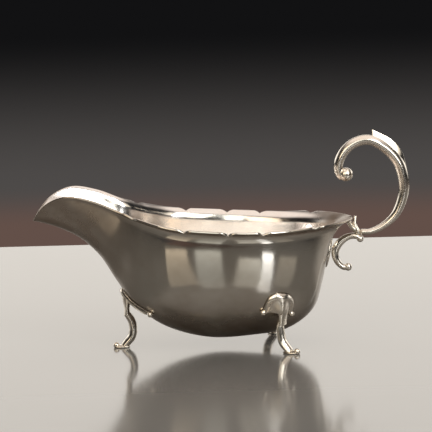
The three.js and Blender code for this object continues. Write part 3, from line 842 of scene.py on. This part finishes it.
def band(points, rows, thick, wide, section):
    """A closed skin along a line in the middle plane. thick and wide are functions of its share."""
    line, tangent = even_line([(x, 0, z) for x, z in points], rows)
    share = np.linspace(0, 1, rows)
    outer = np.stack([-tangent[:, 2], np.zeros(rows), tangent[:, 0]], axis=1)
    skin = (line[:, None] + outer[:, None] * section[None, :, :1] * (thick(share) / 2)[:, None, None]
            + SIDEWAYS * section[None, :, 1:] * (wide(share) / 2)[:, None, None])
    shut = np.repeat(line[[0, -1], None], len(section), axis=1)
    return np.concatenate([shut[:1], skin, shut[1:]])


def fin(outer, inner, rows, wide, section):
    """A closed skin between two lines in the middle plane: its section spans from one line to the other."""
    share = np.linspace(0, 1, rows)
    outer, inner = (smooth_line([(x, 0, z) for x, z in line], share) for line in (outer, inner))
    skin = ((outer + inner)[:, None] / 2 + (outer - inner)[:, None] / 2 * section[None, :, :1]
            + SIDEWAYS * section[None, :, 1:] * (wide(share) / 2)[:, None, None])
    shut = np.repeat(skin.mean(axis=1)[[0, -1], None], len(section), axis=1)
    return np.concatenate([shut[:1], skin, shut[1:]])


def ball(centre, diameter, rows=17, columns=32):
    """A sphere: circles of latitude from pole to pole."""
    around = np.linspace(0, 2 * math.pi, columns, endpoint=False)
    tip, turn = np.meshgrid(np.linspace(0, math.pi, rows), around, indexing="ij")
    unit = np.stack([np.sin(tip) * np.cos(turn), np.sin(tip) * np.sin(turn), np.cos(tip)], axis=-1)
    return np.asarray(centre, float) + unit * diameter / 2


print("a ball of 2 mm spans", np.ptp(ball((0, 0, 0), 2.0).reshape(-1, 3), axis=0).round(2), "mm")

# %% [markdown]
# ## Flying scroll handle
# The handle is fixed at its foot only, and flies round to a curled end over the rim. A thorn stands on its
# crown to stop the thumb. The scroll is one band along its line. The thorn is a fin between two lines,
# because a second band would leave a groove where it joins the first.

# %% Lines of the handle
HANDLE_STAND = 4.0
HANDLE_DROP = 6.2
HANDLE_REACH = 19.6
HANDLE_RISE = 41.5
HANDLE_SHAPE = [(0, 0), (0.2, 0), (0.48, 0.053), (0.781, 0.173), (0.969, 0.373), (1, 0.554), (0.878, 0.752),
                (0.597, 0.906), (0.224, 1), (-0.122, 0.971), (-0.378, 0.867), (-0.495, 0.728),
                (-0.423, 0.622), (-0.291, 0.631)]
THORN_EDGE = [(1.1, 0.554), (1.058, 0.72), (0.96, 0.873), (0.73, 1.0), (0.286, 1.116)]
THORN_FOOT = [(1, 0.554), (0.93, 0.7), (0.806, 0.819), (0.597, 0.906), (0.3, 0.985)]
root_x = TAIL_REACH + HANDLE_STAND
root_z = at_height(RIM[-1][2]) - HANDLE_DROP


def on_handle(shares):
    """Points of the middle plane at shares of the handle's reach and rise from its root."""
    return [(root_x + out * HANDLE_REACH, root_z + up * HANDLE_RISE) for out, up in shares]


handle_line, thorn_edge, thorn_foot = (on_handle(line) for line in (HANDLE_SHAPE, THORN_EDGE, THORN_FOOT))
print("the handle curls to", np.round(handle_line[-1], 1), "mm")

# %% Handle
HANDLE_ROWS = 180
HANDLE_THICK = 4.8
HANDLE_WIDE = 5.6
HANDLE_ROOT_THICK = 2.6
HANDLE_ROOT_WIDE = 3.6
HANDLE_END_THICK = 4.2
HANDLE_SWELL = (0.0, 0.4)
HANDLE_THINS = (0.5, 1.0)
HANDLE_DRAW_IN = 1.6
HANDLE_DRAWS = (0.86, 0.97)
HANDLE_BALL = 6.2
HANDLE_BALL_BACK = 0.6
THORN_ROWS = 60
THORN_WIDE = 5.0
THORN_END_WIDE = 2.4


def handle_thick(t):
    """Swells over the first two fifths, and thins a little towards the curl, where the ball takes over."""
    beyond_root = mix(HANDLE_THICK, HANDLE_END_THICK, smooth_step(t, *HANDLE_THINS))
    return mix(HANDLE_ROOT_THICK, beyond_root, smooth_step(t, *HANDLE_SWELL))


def handle_wide(t):
    """Swells over the first two fifths, and draws in at the end, so that the ball covers its ridges."""
    swollen = mix(HANDLE_ROOT_WIDE, HANDLE_WIDE, smooth_step(t, *HANDLE_SWELL))
    return swollen - HANDLE_DRAW_IN * smooth_step(t, *HANDLE_DRAWS)


handle_skins = [
    band(handle_line, HANDLE_ROWS, handle_thick, handle_wide, ridged_section()),
    ball((handle_line[-1][0] - HANDLE_BALL_BACK, 0, handle_line[-1][1]), HANDLE_BALL),
    fin(thorn_edge, thorn_foot, THORN_ROWS, taper(THORN_WIDE, THORN_END_WIDE, 2), wedge_section()),
]
shell("flying_handle", handle_skins, "handle_scroll", CAST_SILVER)

# %% [markdown]
# ## Leaf at the handle's root
# The handle's foot meets the tail in a small casting: a stem that runs in under the tail, and a leaf that
# curls up behind it. One block between them would hide the gap that shows the leaf's edge. So both are bands
# from one foot, with a knuckle of metal where the handle joins.

# %% Handle root
ROOT_ROWS = 40
ROOT_WIDE = 4.6
ROOT_THICK = 2.4
ROOT_SETBACK = 1.6
ROOT_BOW = 0.3
ROOT_UNDER_TAIL = 1.3
STEM_TOP_THICK = 2.2
LEAF_THICK = 1.2
LEAF_TIP_RISE = 1.0
LEAF_TURN = 1.2
tail = hull(1.0, 0.0)
leaf_foot = np.array([root_x - SEAM - ROOT_THICK / 2, root_z])
stem_top = np.array([tail[0] - ROOT_SETBACK, tail[2] - ROOT_UNDER_TAIL])
leaf_top = np.array([tail[0] + SEAM + LEAF_THICK, tail[2] + LEAF_TIP_RISE])
stem_line = [leaf_foot, (leaf_foot + stem_top) / 2 - ROOT_BOW, stem_top]
leaf_line = [leaf_foot, (leaf_top[0] - LEAF_THICK / 4, (root_z + leaf_top[1]) / 2), leaf_top]


def leaf_wide(t):
    """Narrows to its tip: ROOT_WIDE cos(LEAF_TURN share), with the turn in radians."""
    return ROOT_WIDE * np.cos(LEAF_TURN * t)


root_skins = [
    band(stem_line, ROOT_ROWS, taper(ROOT_THICK, STEM_TOP_THICK), taper(HANDLE_ROOT_WIDE, ROOT_WIDE),
         round_section()),
    band(leaf_line, ROOT_ROWS, taper(ROOT_THICK, LEAF_THICK), leaf_wide, round_section()),
    ball((leaf_foot[0], 0, leaf_foot[1]), ROOT_THICK + 2 * SEAM),
]
shell("handle_leaf", root_skins, "handle_root_leaf", CAST_SILVER)

# %% [markdown]
# ## Bracket
# A small C scroll carries the weight of the handle's foot down to the stern. A torus cut open would be round
# all the way, and the real one opens like a comma and ends in two balls, so it is a band again, thickest at
# its back.

# %% Bracket
BRACKET_SHAPE = [(0.967, 3.1), (0.868, 2), (0.629, 2), (0.384, 4.2), (0.232, 7.4), (0.212, 10.8),
                 (0.311, 14.1), (0.47, 15.9), (0.589, 15.8)]
BRACKET_ROWS = 110
BRACKET_THICK = 2.6
BRACKET_BACK_THICK = 3.6
BRACKET_WIDE = 3.4
BRACKET_TOP_BALL = 3.2
BRACKET_LOW_BALL = 3.6
stern_wall = at_length(KEEL[-3][0])
bracket_line = [(mix(stern_wall, root_x, share), root_z - drop) for share, drop in BRACKET_SHAPE]
bracket_skins = [
    band(bracket_line, BRACKET_ROWS, swell(BRACKET_THICK, BRACKET_BACK_THICK, 3),
         taper(BRACKET_WIDE, BRACKET_WIDE), ridged_section()),
    ball((bracket_line[0][0], 0, bracket_line[0][1]), BRACKET_TOP_BALL),
    ball((bracket_line[-1][0], 0, bracket_line[-1][1]), BRACKET_LOW_BALL),
]
shell("bracket", bracket_skins, "bracket_scroll", CAST_SILVER)

# %% [markdown]
# ## Plates on the hull
# Each leg and the bracket stand on a cast plate that follows the hull, with a seam of solder between. A flat
# plate with a Shrinkwrap modifier would slide and stretch. So a disc of points in plan is looked up on the
# hull's own surface, and lifted by a thickness that depends on where the point lies.

# %% Plates
PLATE_RINGS = 26
PLATE_AROUND = 96
ROUNDING = 0.12


def hull_plate(middle, axes, guess, outline, height):
    """A closed skin on the hull. outline(share) gives its edge, and height(place, ring) its thickness."""
    edge = outline(np.linspace(0, 1, PLATE_AROUND, endpoint=False))
    ring = np.sin(np.linspace(0, math.pi / 2, PLATE_RINGS))
    place = edge[None] * ring[:, None, None]
    u, v = hull_find(np.asarray(middle) + place, axes, guess)
    over = over_hull(u, v, SEAM + height(place, ring[:, None]))
    under = over_hull(u, v, np.full(u.shape, SEAM))
    return np.concatenate([over, under[::-1]])


def rounded(ring, thick):
    """Brings a thickness down to nothing over the last ROUNDING of a plate, as a quarter of an ellipse."""
    inside = np.clip((1 - ring) / ROUNDING, 0, 1)
    return thick * np.sqrt(np.clip(1 - (1 - inside) ** 2, 0, 1))


print("a plate has", PLATE_RINGS, "rings of", PLATE_AROUND, "points on each face")

# %% Leaf on the stern
STERN_HEIGHT = 16.2
STERN_HALF_WIDTH = 6.0
STERN_THICK = 1.4
STERN_OVERLAP = 0.5
STERN_LOW = 0.25
STERN_GUESS = (0.84, 0.0)
stern_middle = (0, root_z + STERN_OVERLAP - STERN_HEIGHT / 2)


def stern_outline(share):
    """A pointed leaf: sides that bulge as sin ** 1.5 and run to a point above and below, widest low down."""
    angle = share * 2 * math.pi
    bulge = np.sin(angle) * np.sqrt(np.abs(np.sin(angle)))
    return np.stack([STERN_HALF_WIDTH * bulge * (1 - STERN_LOW * np.cos(angle)),
                     STERN_HEIGHT / 2 * np.cos(angle)], axis=-1)


def stern_height(place, ring):
    """Full in the middle, and half of that towards the edge."""
    return rounded(ring, mix(STERN_THICK, STERN_THICK / 2, ring ** 2))


stern_skin = hull_plate(stern_middle, [1, 2], STERN_GUESS, stern_outline, stern_height)
shell("stern_leaf", [stern_skin], "stern_plate", SHADED_SILVER)

# %% [markdown]
# ## Places of the legs
# Three legs stand firm on any table: one under the spout and two behind. Each leg is made in its own plane,
# with the toe along +X, and then turned and moved to its foot. Modelling each in its place would mean three
# shapes to keep alike. The rear feet aren't a mirrored pair: the right one is nearer to the spout.

# %% Feet and knees, in millimetres and degrees
REAR_FOOT_X = at_length(0.507)
REAR_FOOT_Y = 0.652 * BEAM / 2
REAR_SETBACK = 5.5
REAR_TOE = 30.0
REAR_RAKE = 1.6
REAR_KNEE_TURN = 33.0
REAR_KNEE_SHIFT = 1.75

# A knee's outline in plan has its rise, shoulder, reach and spread, and arch lifts its lower edge. Its
# relief has a dome and a rib. turn and shift set it on the hull beside its leg.
FRONT_KNEE = dict(turn=0.0, shift=0.0, rise=1.9, shoulder=4.2, reach=11.4, spread=14.2, arch=0.45, rib=0.5,
                  rib_width=2.6, dome=0.0, bell=False)
REAR_KNEE = dict(rise=3.4, shoulder=6.6, reach=2.2, spread=7.0, arch=-0.15, rib=2.2, rib_width=3.2, dome=0.4,
                 bell=True)

# toe is the way that the foot points, and rake is how far the strut stands back from it.
LEGS = {
    "front": dict(foot=(at_length(-0.555), 0.0), toe=180.0, rake=0.0, **FRONT_KNEE),
    "rear_left": dict(foot=(REAR_FOOT_X, -REAR_FOOT_Y), toe=-REAR_TOE, rake=REAR_RAKE,
                      turn=-REAR_KNEE_TURN, shift=-REAR_KNEE_SHIFT, **REAR_KNEE),
    "rear_right": dict(foot=(REAR_FOOT_X - REAR_SETBACK, REAR_FOOT_Y), toe=REAR_TOE, rake=REAR_RAKE,
                       turn=REAR_KNEE_TURN, shift=REAR_KNEE_SHIFT, **REAR_KNEE),
}


def turned(points, degrees, move=(0.0, 0.0)):
    """Points turned about Z and then moved."""
    angle = math.radians(degrees)
    cos, sin = math.cos(angle), math.sin(angle)
    return points @ np.array([[cos, sin, 0], [-sin, cos, 0], [0, 0, 1]]) + np.array([move[0], move[1], 0.0])


for name, leg in LEGS.items():
    print(name, "foot at", np.round(leg["foot"], 1), "mm")

# %% [markdown]
# ## Scroll legs
# A leg is a strut that drops from the knee to a small ledge, a C scroll that leaves the ledge and swings in
# and out again, and a flat pad with a ball at its toe. Under a rear knee the strut widens like a bell. A leg
# is one casting, and is built from bands as the handle is, so its ridge runs down all of it.

# %% Strut and bell
STRUT_ROWS = 40
STRUT_REACH = 3.1
STRUT_THICK = 2.4
STRUT_WIDE = 5.6
STRUT_FLARE = 1.7
STRUT_FLARE_END = 0.7
LEDGE_HEIGHT = 14.6
LEDGE_THICK = 3.2
ANKLE_WIDE = 5.0
BELL_ROWS = 50
BELL_SHAPE = [(0.7, 2.2), (0.6, -0.4), (0.3, -3.4), (0.0, -8.0)]
BELL_THICK = 5.0
BELL_WIDE = 8.6
BELL_TOP = 0.22
BELL_END = 0.9


def strut_thick(t):
    """Flared under the knee, and thicker again as share ** 4 where it meets the ledge."""
    return mix(STRUT_THICK, LEDGE_THICK, t ** 4) + STRUT_FLARE * (1 - smooth_step(t, 0, STRUT_FLARE_END))


def bell_width(top, end):
    """From the bell's size to the strut's, times a quarter of an ellipse, so that it starts as a dome."""
    def width(t):
        dome = np.sqrt(1 - (1 - np.clip(t / BELL_TOP, 0, 1)) ** 2)
        return mix(top, end, smooth_step(t, 0, BELL_END)) * dome
    return width


def strut_skins(leg, top):
    """The strut from the hull's height top down to the ledge, and the bell over it where the leg has one."""
    strut_x = -STRUT_REACH - leg["rake"]
    strut = band([(strut_x, top - SHEET), (strut_x, LEDGE_HEIGHT)], STRUT_ROWS, strut_thick,
                 taper(STRUT_WIDE, ANKLE_WIDE), ridged_section())
    if not leg["bell"]:
        return [strut]
    bell_line = [(strut_x + out, top + up) for out, up in BELL_SHAPE]
    bell = band(bell_line, BELL_ROWS, bell_width(BELL_THICK, STRUT_THICK), bell_width(BELL_WIDE, STRUT_WIDE),
                round_section())
    return [bell, strut]


print("a strut has", [len(strut_skins(leg, 25.0)) for leg in LEGS.values()], "skins on the three legs")

# %% Scroll and foot
SCROLL_ROWS = 60
SCROLL_REACH = 6.0
SCROLL_HEIGHT = 8.2
SCROLL_SHAPE = [(0.817, 1.52), (0.938, 1.15), (0.93, 0.9), (0.78, 0.56), (0.4, 0.232)]
SCROLL_THICK = 3.8
SCROLL_END_THICK = 3.2
LEDGE_LAP = 0.8
RAKE_UP = (0.9, 1.8)
PAD_ROWS = 30
PAD_FRONT = 3.6
PAD_BACK = 3.9
PAD_WIDE = 5.4
PAD_THICK = 1.3
PAD_END_THICK = 0.6
PAD_END_WIDE = 0.55
PAD_BLUNT = 0.15
TOE_BALL = 2.8
TOE_UP = 0.8


def pad_thick(t):
    """PAD_END_THICK of the full thickness at both ends, and the rest of it as sin(pi share) between them.

    The full thickness is 4/3 of PAD_THICK, because the third below the table's top is laid flat on it.
    """
    return PAD_THICK * 4 / 3 * mix(PAD_END_THICK, 1.0, np.sin(math.pi * t))


def pad_wide(t):
    """A blunt oval: PAD_END_WIDE of the width, and on it a sine's arch cut by PAD_BLUNT at each end."""
    return PAD_WIDE * mix(PAD_END_WIDE, 1.0, np.sin(math.pi * mix(PAD_BLUNT, 1 - PAD_BLUNT, t)))


def foot_skins(leg):
    """The C scroll from the ledge down, the pad and the ball. The scroll's top leans by the leg's rake."""
    scroll_line = [(-STRUT_REACH - leg["rake"], LEDGE_HEIGHT + LEDGE_LAP)]
    for out, up in SCROLL_SHAPE:
        lean = leg["rake"] * float(smooth_step(up, *RAKE_UP))
        scroll_line.append((-out * SCROLL_REACH - lean, up * SCROLL_HEIGHT))
    scroll_line.append((-PAD_THICK, PAD_THICK / 2))
    pad_line = [(-PAD_BACK, PAD_THICK / 3), (PAD_FRONT - TOE_BALL / 2, PAD_THICK / 3)]
    return [
        band(scroll_line, SCROLL_ROWS, swell(SCROLL_END_THICK, SCROLL_THICK), taper(ANKLE_WIDE, ANKLE_WIDE),
             ridged_section()),
        band(pad_line, PAD_ROWS, pad_thick, pad_wide, round_section()),
        ball((PAD_FRONT - TOE_BALL / 2, 0, PAD_THICK * TOE_UP), TOE_BALL),
    ]


def flat_foot(grid):
    """Lays what would go under the table on it."""
    grid = grid.copy()
    grid[..., 2] = np.maximum(grid[..., 2], 0.0)
    return grid


print("a foot is", round(PAD_BACK + PAD_FRONT, 1), "mm long with its toe")

# %% [markdown]
# ## Knees
# Where a leg meets the hull, a cast shell spreads the load over the thin sheet, with a small volute at each
# ear. A shell carved by hand in Sculpt Mode couldn't be measured. This one is a plate on the hull whose
# thickness is a sum: a low dome, a rib down the middle and a rolled rim.

# %% Knee shells
KNEE_FALL = 2.0
KNEE_THICK = 1.5
KNEE_EDGE = 0.7
KNEE_RIM = 0.45
KNEE_RIM_AT = 0.85
KNEE_RIM_WIDTH = 0.12
KNEE_CROWN = (0.9, 0.55)
KNEE_SHOULDER = 0.4
KNEE_HEM = 0.45


def knee_outline(leg):
    """Edge of a knee in plan: over the crown, down to one ear, in to the shell's foot, and round again."""
    half = [(leg["rise"] * KNEE_CROWN[0], leg["shoulder"] * KNEE_CROWN[1]),
            (leg["rise"] * KNEE_SHOULDER, leg["shoulder"]), (-leg["reach"], leg["spread"]),
            (-(leg["reach"] + KNEE_FALL) * leg["arch"], leg["spread"] * KNEE_HEM)]
    other = [(out, -side) for out, side in half[::-1]]
    corners = np.array([(leg["rise"], 0), *half, (-KNEE_FALL, 0), *other], float)
    corners = np.column_stack([corners, np.zeros(len(corners))])

    def outline(share):
        return turned(smooth_line(corners, share, closed=True), leg["toe"] + leg["turn"])[:, :2]

    return outline


def knee_height(leg):
    """Thickness of a knee: KNEE_EDGE + (1 - ring^2) (dome + rib e^(-(across / rib_width)^2)) + rim.

    The rim is KNEE_RIM e^(-((ring - KNEE_RIM_AT) / KNEE_RIM_WIDTH)^2), and rounded() closes the edge.
    """
    rib_full = KNEE_THICK - KNEE_EDGE + leg["rib"]

    def height(place, ring):
        flat = np.concatenate([place, np.zeros(place.shape[:-1] + (1,))], axis=-1)
        across = turned(flat, -(leg["toe"] + leg["turn"]))[..., 1]
        rib = rib_full * (1 - ring ** 2) * np.exp(-(across / leg["rib_width"]) ** 2)
        rim = KNEE_RIM * np.exp(-((ring - KNEE_RIM_AT) / KNEE_RIM_WIDTH) ** 2)
        return rounded(ring, KNEE_EDGE + leg["dome"] * (1 - ring ** 2) + rib + rim)

    return height


for name, leg in LEGS.items():
    print(name, "knee is up to", round(KNEE_THICK + leg["rib"] + leg["dome"], 1), "mm thick")

# %% Legs and knees on the hull
EAR_BALL = 2.6
FRONT_GUESS = (0.4, 0.05)
REAR_GUESS = (0.65, 0.4)


def leg_seat(leg):
    """Where the strut's axis passes the hull in plan, and the (u, v) there."""
    seat = turned(np.array([[-STRUT_REACH - leg["rake"], 0.0, 0.0]]), leg["toe"], leg["foot"])[0, :2]
    guess = FRONT_GUESS if seat[0] < 0 else (REAR_GUESS[0], math.copysign(REAR_GUESS[1], seat[1]))
    u, v = hull_find(seat, [0, 1], guess)
    return seat, float(u), float(v)


def make_leg(name, leg):
    """A leg turned and moved to its foot, under the hull's height at its seat."""
    _, u, v = leg_seat(leg)
    skins = strut_skins(leg, hull(u, v)[2].item()) + foot_skins(leg)
    placed = [turned(flat_foot(skin), leg["toe"], leg["foot"]) for skin in skins]
    shell(name + "_scroll_leg", placed, name + "_leg", CAST_SILVER)


def make_knee(name, leg):
    """A knee shell on the hull over its leg, and a volute on each ear."""
    seat, u, v = leg_seat(leg)
    facing = leg["toe"] + leg["turn"]
    heart = turned(np.array([[0.0, leg["shift"], 0.0]]), facing, seat)[0, :2]
    plate = hull_plate(heart, [0, 1], (u, v), knee_outline(leg), knee_height(leg))
    ears = np.array([(-leg["reach"], side * leg["spread"], 0.0) for side in (-1, 1)])
    ear_u, ear_v = hull_find(turned(ears, facing, heart)[:, :2], [0, 1], (u, v))
    centres = over_hull(ear_u, ear_v, np.full(2, SEAM + KNEE_EDGE))
    volutes = [ball(centre, EAR_BALL) for centre in centres]
    shell(name + "_knee", [plate, *volutes], name + "_knee_plate", CAST_SILVER)


for name, leg in LEGS.items():
    make_leg(name, leg)
    make_knee(name, leg)

# %% [markdown]
# ## Table
# Metal has to have something to show, and the boat stands on a pale polished table. A white floor would
# fill the lower half of the silver with white. So the table is a low grey with a strong sheen, and looks
# pale because it shows the bright sky behind the boat.

# %% Table
TABLE_TONE = (0.2, 0.197, 0.19)
TABLE_ROUGHNESS = 0.12
TABLE_SHEEN_IOR = 1.8
TABLE_SIDES = (-0.5, 0.5)
TABLE_DEPTH = (-0.3, 0.34)


def table_finish():
    """A plain polished surface of one tone."""
    material = bpy.data.materials.new("pale_table")
    material.use_nodes = True
    surface = material.node_tree.nodes["Principled BSDF"]
    surface.inputs["Base Color"].default_value = (*TABLE_TONE, 1)
    surface.inputs["Roughness"].default_value = TABLE_ROUGHNESS
    surface.inputs["IOR"].default_value = TABLE_SHEEN_IOR
    return material


left, right = TABLE_SIDES
front, back = TABLE_DEPTH
table_mesh = bpy.data.meshes.new("table")
table_corners = [(left, front, 0), (right, front, 0), (right, back, 0), (left, back, 0)]
table_mesh.from_pydata(table_corners, [], [(0, 1, 2, 3)])
table = bpy.data.objects.new("table", table_mesh)
bpy.context.scene.collection.objects.link(table)
table_mesh.materials.append(table_finish())
table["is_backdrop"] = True
print("table:", right - left, "by", back - front, "m")

# %% [markdown]
# ## Lamps
# The light comes from a window to the right of the camera, and pale walls send some of it back. Small
# lamps would show as sharp dots. Large rectangles do as a window does: the bowl shows them directly, and
# the flank shows them once more as four upright panels, mirrored in the polished table.

# %% Lamps
BOAT_MIDDLE = (0.0, 0.0, 0.045)
LAMP_DISTANCE = 1.1
LAMPS = {
    "window": dict(aside=41, up=29, size=(0.17, 0.76), level=7.4, tone=(1.0, 1.0, 1.0)),
    "curtain": dict(aside=24, up=30, size=(0.42, 0.58), level=2.8, tone=(1.0, 0.97, 0.88)),
    "pale_wall": dict(aside=-9, up=27, size=(0.32, 0.75), level=1.8, tone=(1.0, 1.0, 0.92)),
    "warm_wall": dict(aside=-37, up=25, size=(0.55, 0.7), level=1.8, tone=(1.0, 0.84, 0.64)),
    "side_wall": dict(aside=56, up=25, size=(0.25, 0.5), level=1.0, tone=(1.0, 0.9, 0.75)),
    "stern_box": dict(aside=130, up=20, size=(0.1, 0.5), level=1.2, tone=(1.0, 0.98, 0.95)),
}


def soft_box(name, aside, up, size, level, tone):
    """A rectangular lamp that faces the boat.

    aside is its direction in degrees from the camera's side, to the right; up is its height in degrees.
    level is the brightness of its face, so its power is level * pi * area.
    """
    data = bpy.data.lights.new(name, "AREA")
    data.shape = "RECTANGLE"
    data.size, data.size_y = size
    data.energy = level * math.pi * size[0] * size[1]
    data.color = tone
    turn, climb = math.radians(aside), math.radians(up)
    toward = Vector((math.sin(turn) * math.cos(climb), -math.cos(turn) * math.cos(climb), math.sin(climb)))
    box = bpy.data.objects.new(name, data)
    box.location = Vector(BOAT_MIDDLE) + toward * LAMP_DISTANCE
    box.rotation_euler = toward.to_track_quat("Z", "Y").to_euler()
    bpy.context.scene.collection.objects.link(box)
    print(name, round(data.energy, 2), "W")


for name, lamp in LAMPS.items():
    soft_box(name, **lamp)

# %% [markdown]
# ## World
# Everything that no lamp covers is the world, and silver shows all of it. One even grey would make the
# boat look like putty. So the room is dim and a little brown at the boat's height, which gives the silver
# its dark side, and bright overhead and low behind the boat, where it lights the table's sheen.

# %% World
ROOM_LOW = (0.03, 0.027, 0.025)
ROOM_BROWN = (0.125, 0.08, 0.066)
ROOM_GREY = (0.075, 0.069, 0.066)
ROOM_DIM = (0.006, 0.006, 0.0065)
SKY_LOW = (1.35, 1.28, 1.18)
SKY_HIGH = (0.95, 0.83, 0.75)
BROWN_FROM = (-0.2, -0.13)
GREY_FROM = (-0.13, -0.112)
DIM_FROM = (-0.115, -0.05)
OVERHEAD_FROM = (0.62, 0.85)
BEHIND_FROM = (-0.1, 0.5)
HORIZON = (0.0, 0.1)
GLOW_TOP = (0.35, 0.5)
GLOW_REST = 0.15
SKY_TURNS = (0.2, 0.7)


def room_light():
    """A dim brown room at table height, under a ceiling that comes lower behind the boat than before it.

    A range gives where one tone takes over from another, in shares of a direction's height or depth.
    """
    world = bpy.data.worlds.new("room")
    world.use_nodes = True
    tree = world.node_tree
    way = tree.nodes.new("ShaderNodeTexCoord").outputs["Generated"]
    up, back = part_of(tree, way, "Z"), part_of(tree, way, "Y")
    wall = blend(tree, ROOM_LOW, ROOM_BROWN, remap(tree, up, BROWN_FROM))
    wall = blend(tree, wall, ROOM_GREY, remap(tree, up, GREY_FROM))
    wall = blend(tree, wall, ROOM_DIM, remap(tree, up, DIM_FROM))
    glow = maths(tree, "MULTIPLY", remap(tree, back, BEHIND_FROM), remap(tree, up, HORIZON))
    glow = maths(tree, "MULTIPLY", glow, remap(tree, up, GLOW_TOP, (1.0, GLOW_REST)))
    bright = maths(tree, "MAXIMUM", remap(tree, up, OVERHEAD_FROM), glow)
    sky = blend(tree, SKY_LOW, SKY_HIGH, remap(tree, up, SKY_TURNS))
    tree.links.new(blend(tree, wall, sky, bright), tree.nodes["Background"].inputs["Color"])
    print("the room is worked out by", len(tree.nodes), "nodes")
    return world


bpy.context.scene.world = room_light()
bpy.context.scene.view_settings.view_transform = "Standard"

# %% [markdown]
# ## Size as seen
# The boxes of the imported solids and of what is seen should agree to a fraction of a millimetre. The size
# of what is seen is printed.

# %% Size as seen
low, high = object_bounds()
print("size as seen:", [round(end - start, 4) for start, end in zip(low, high)], "m")
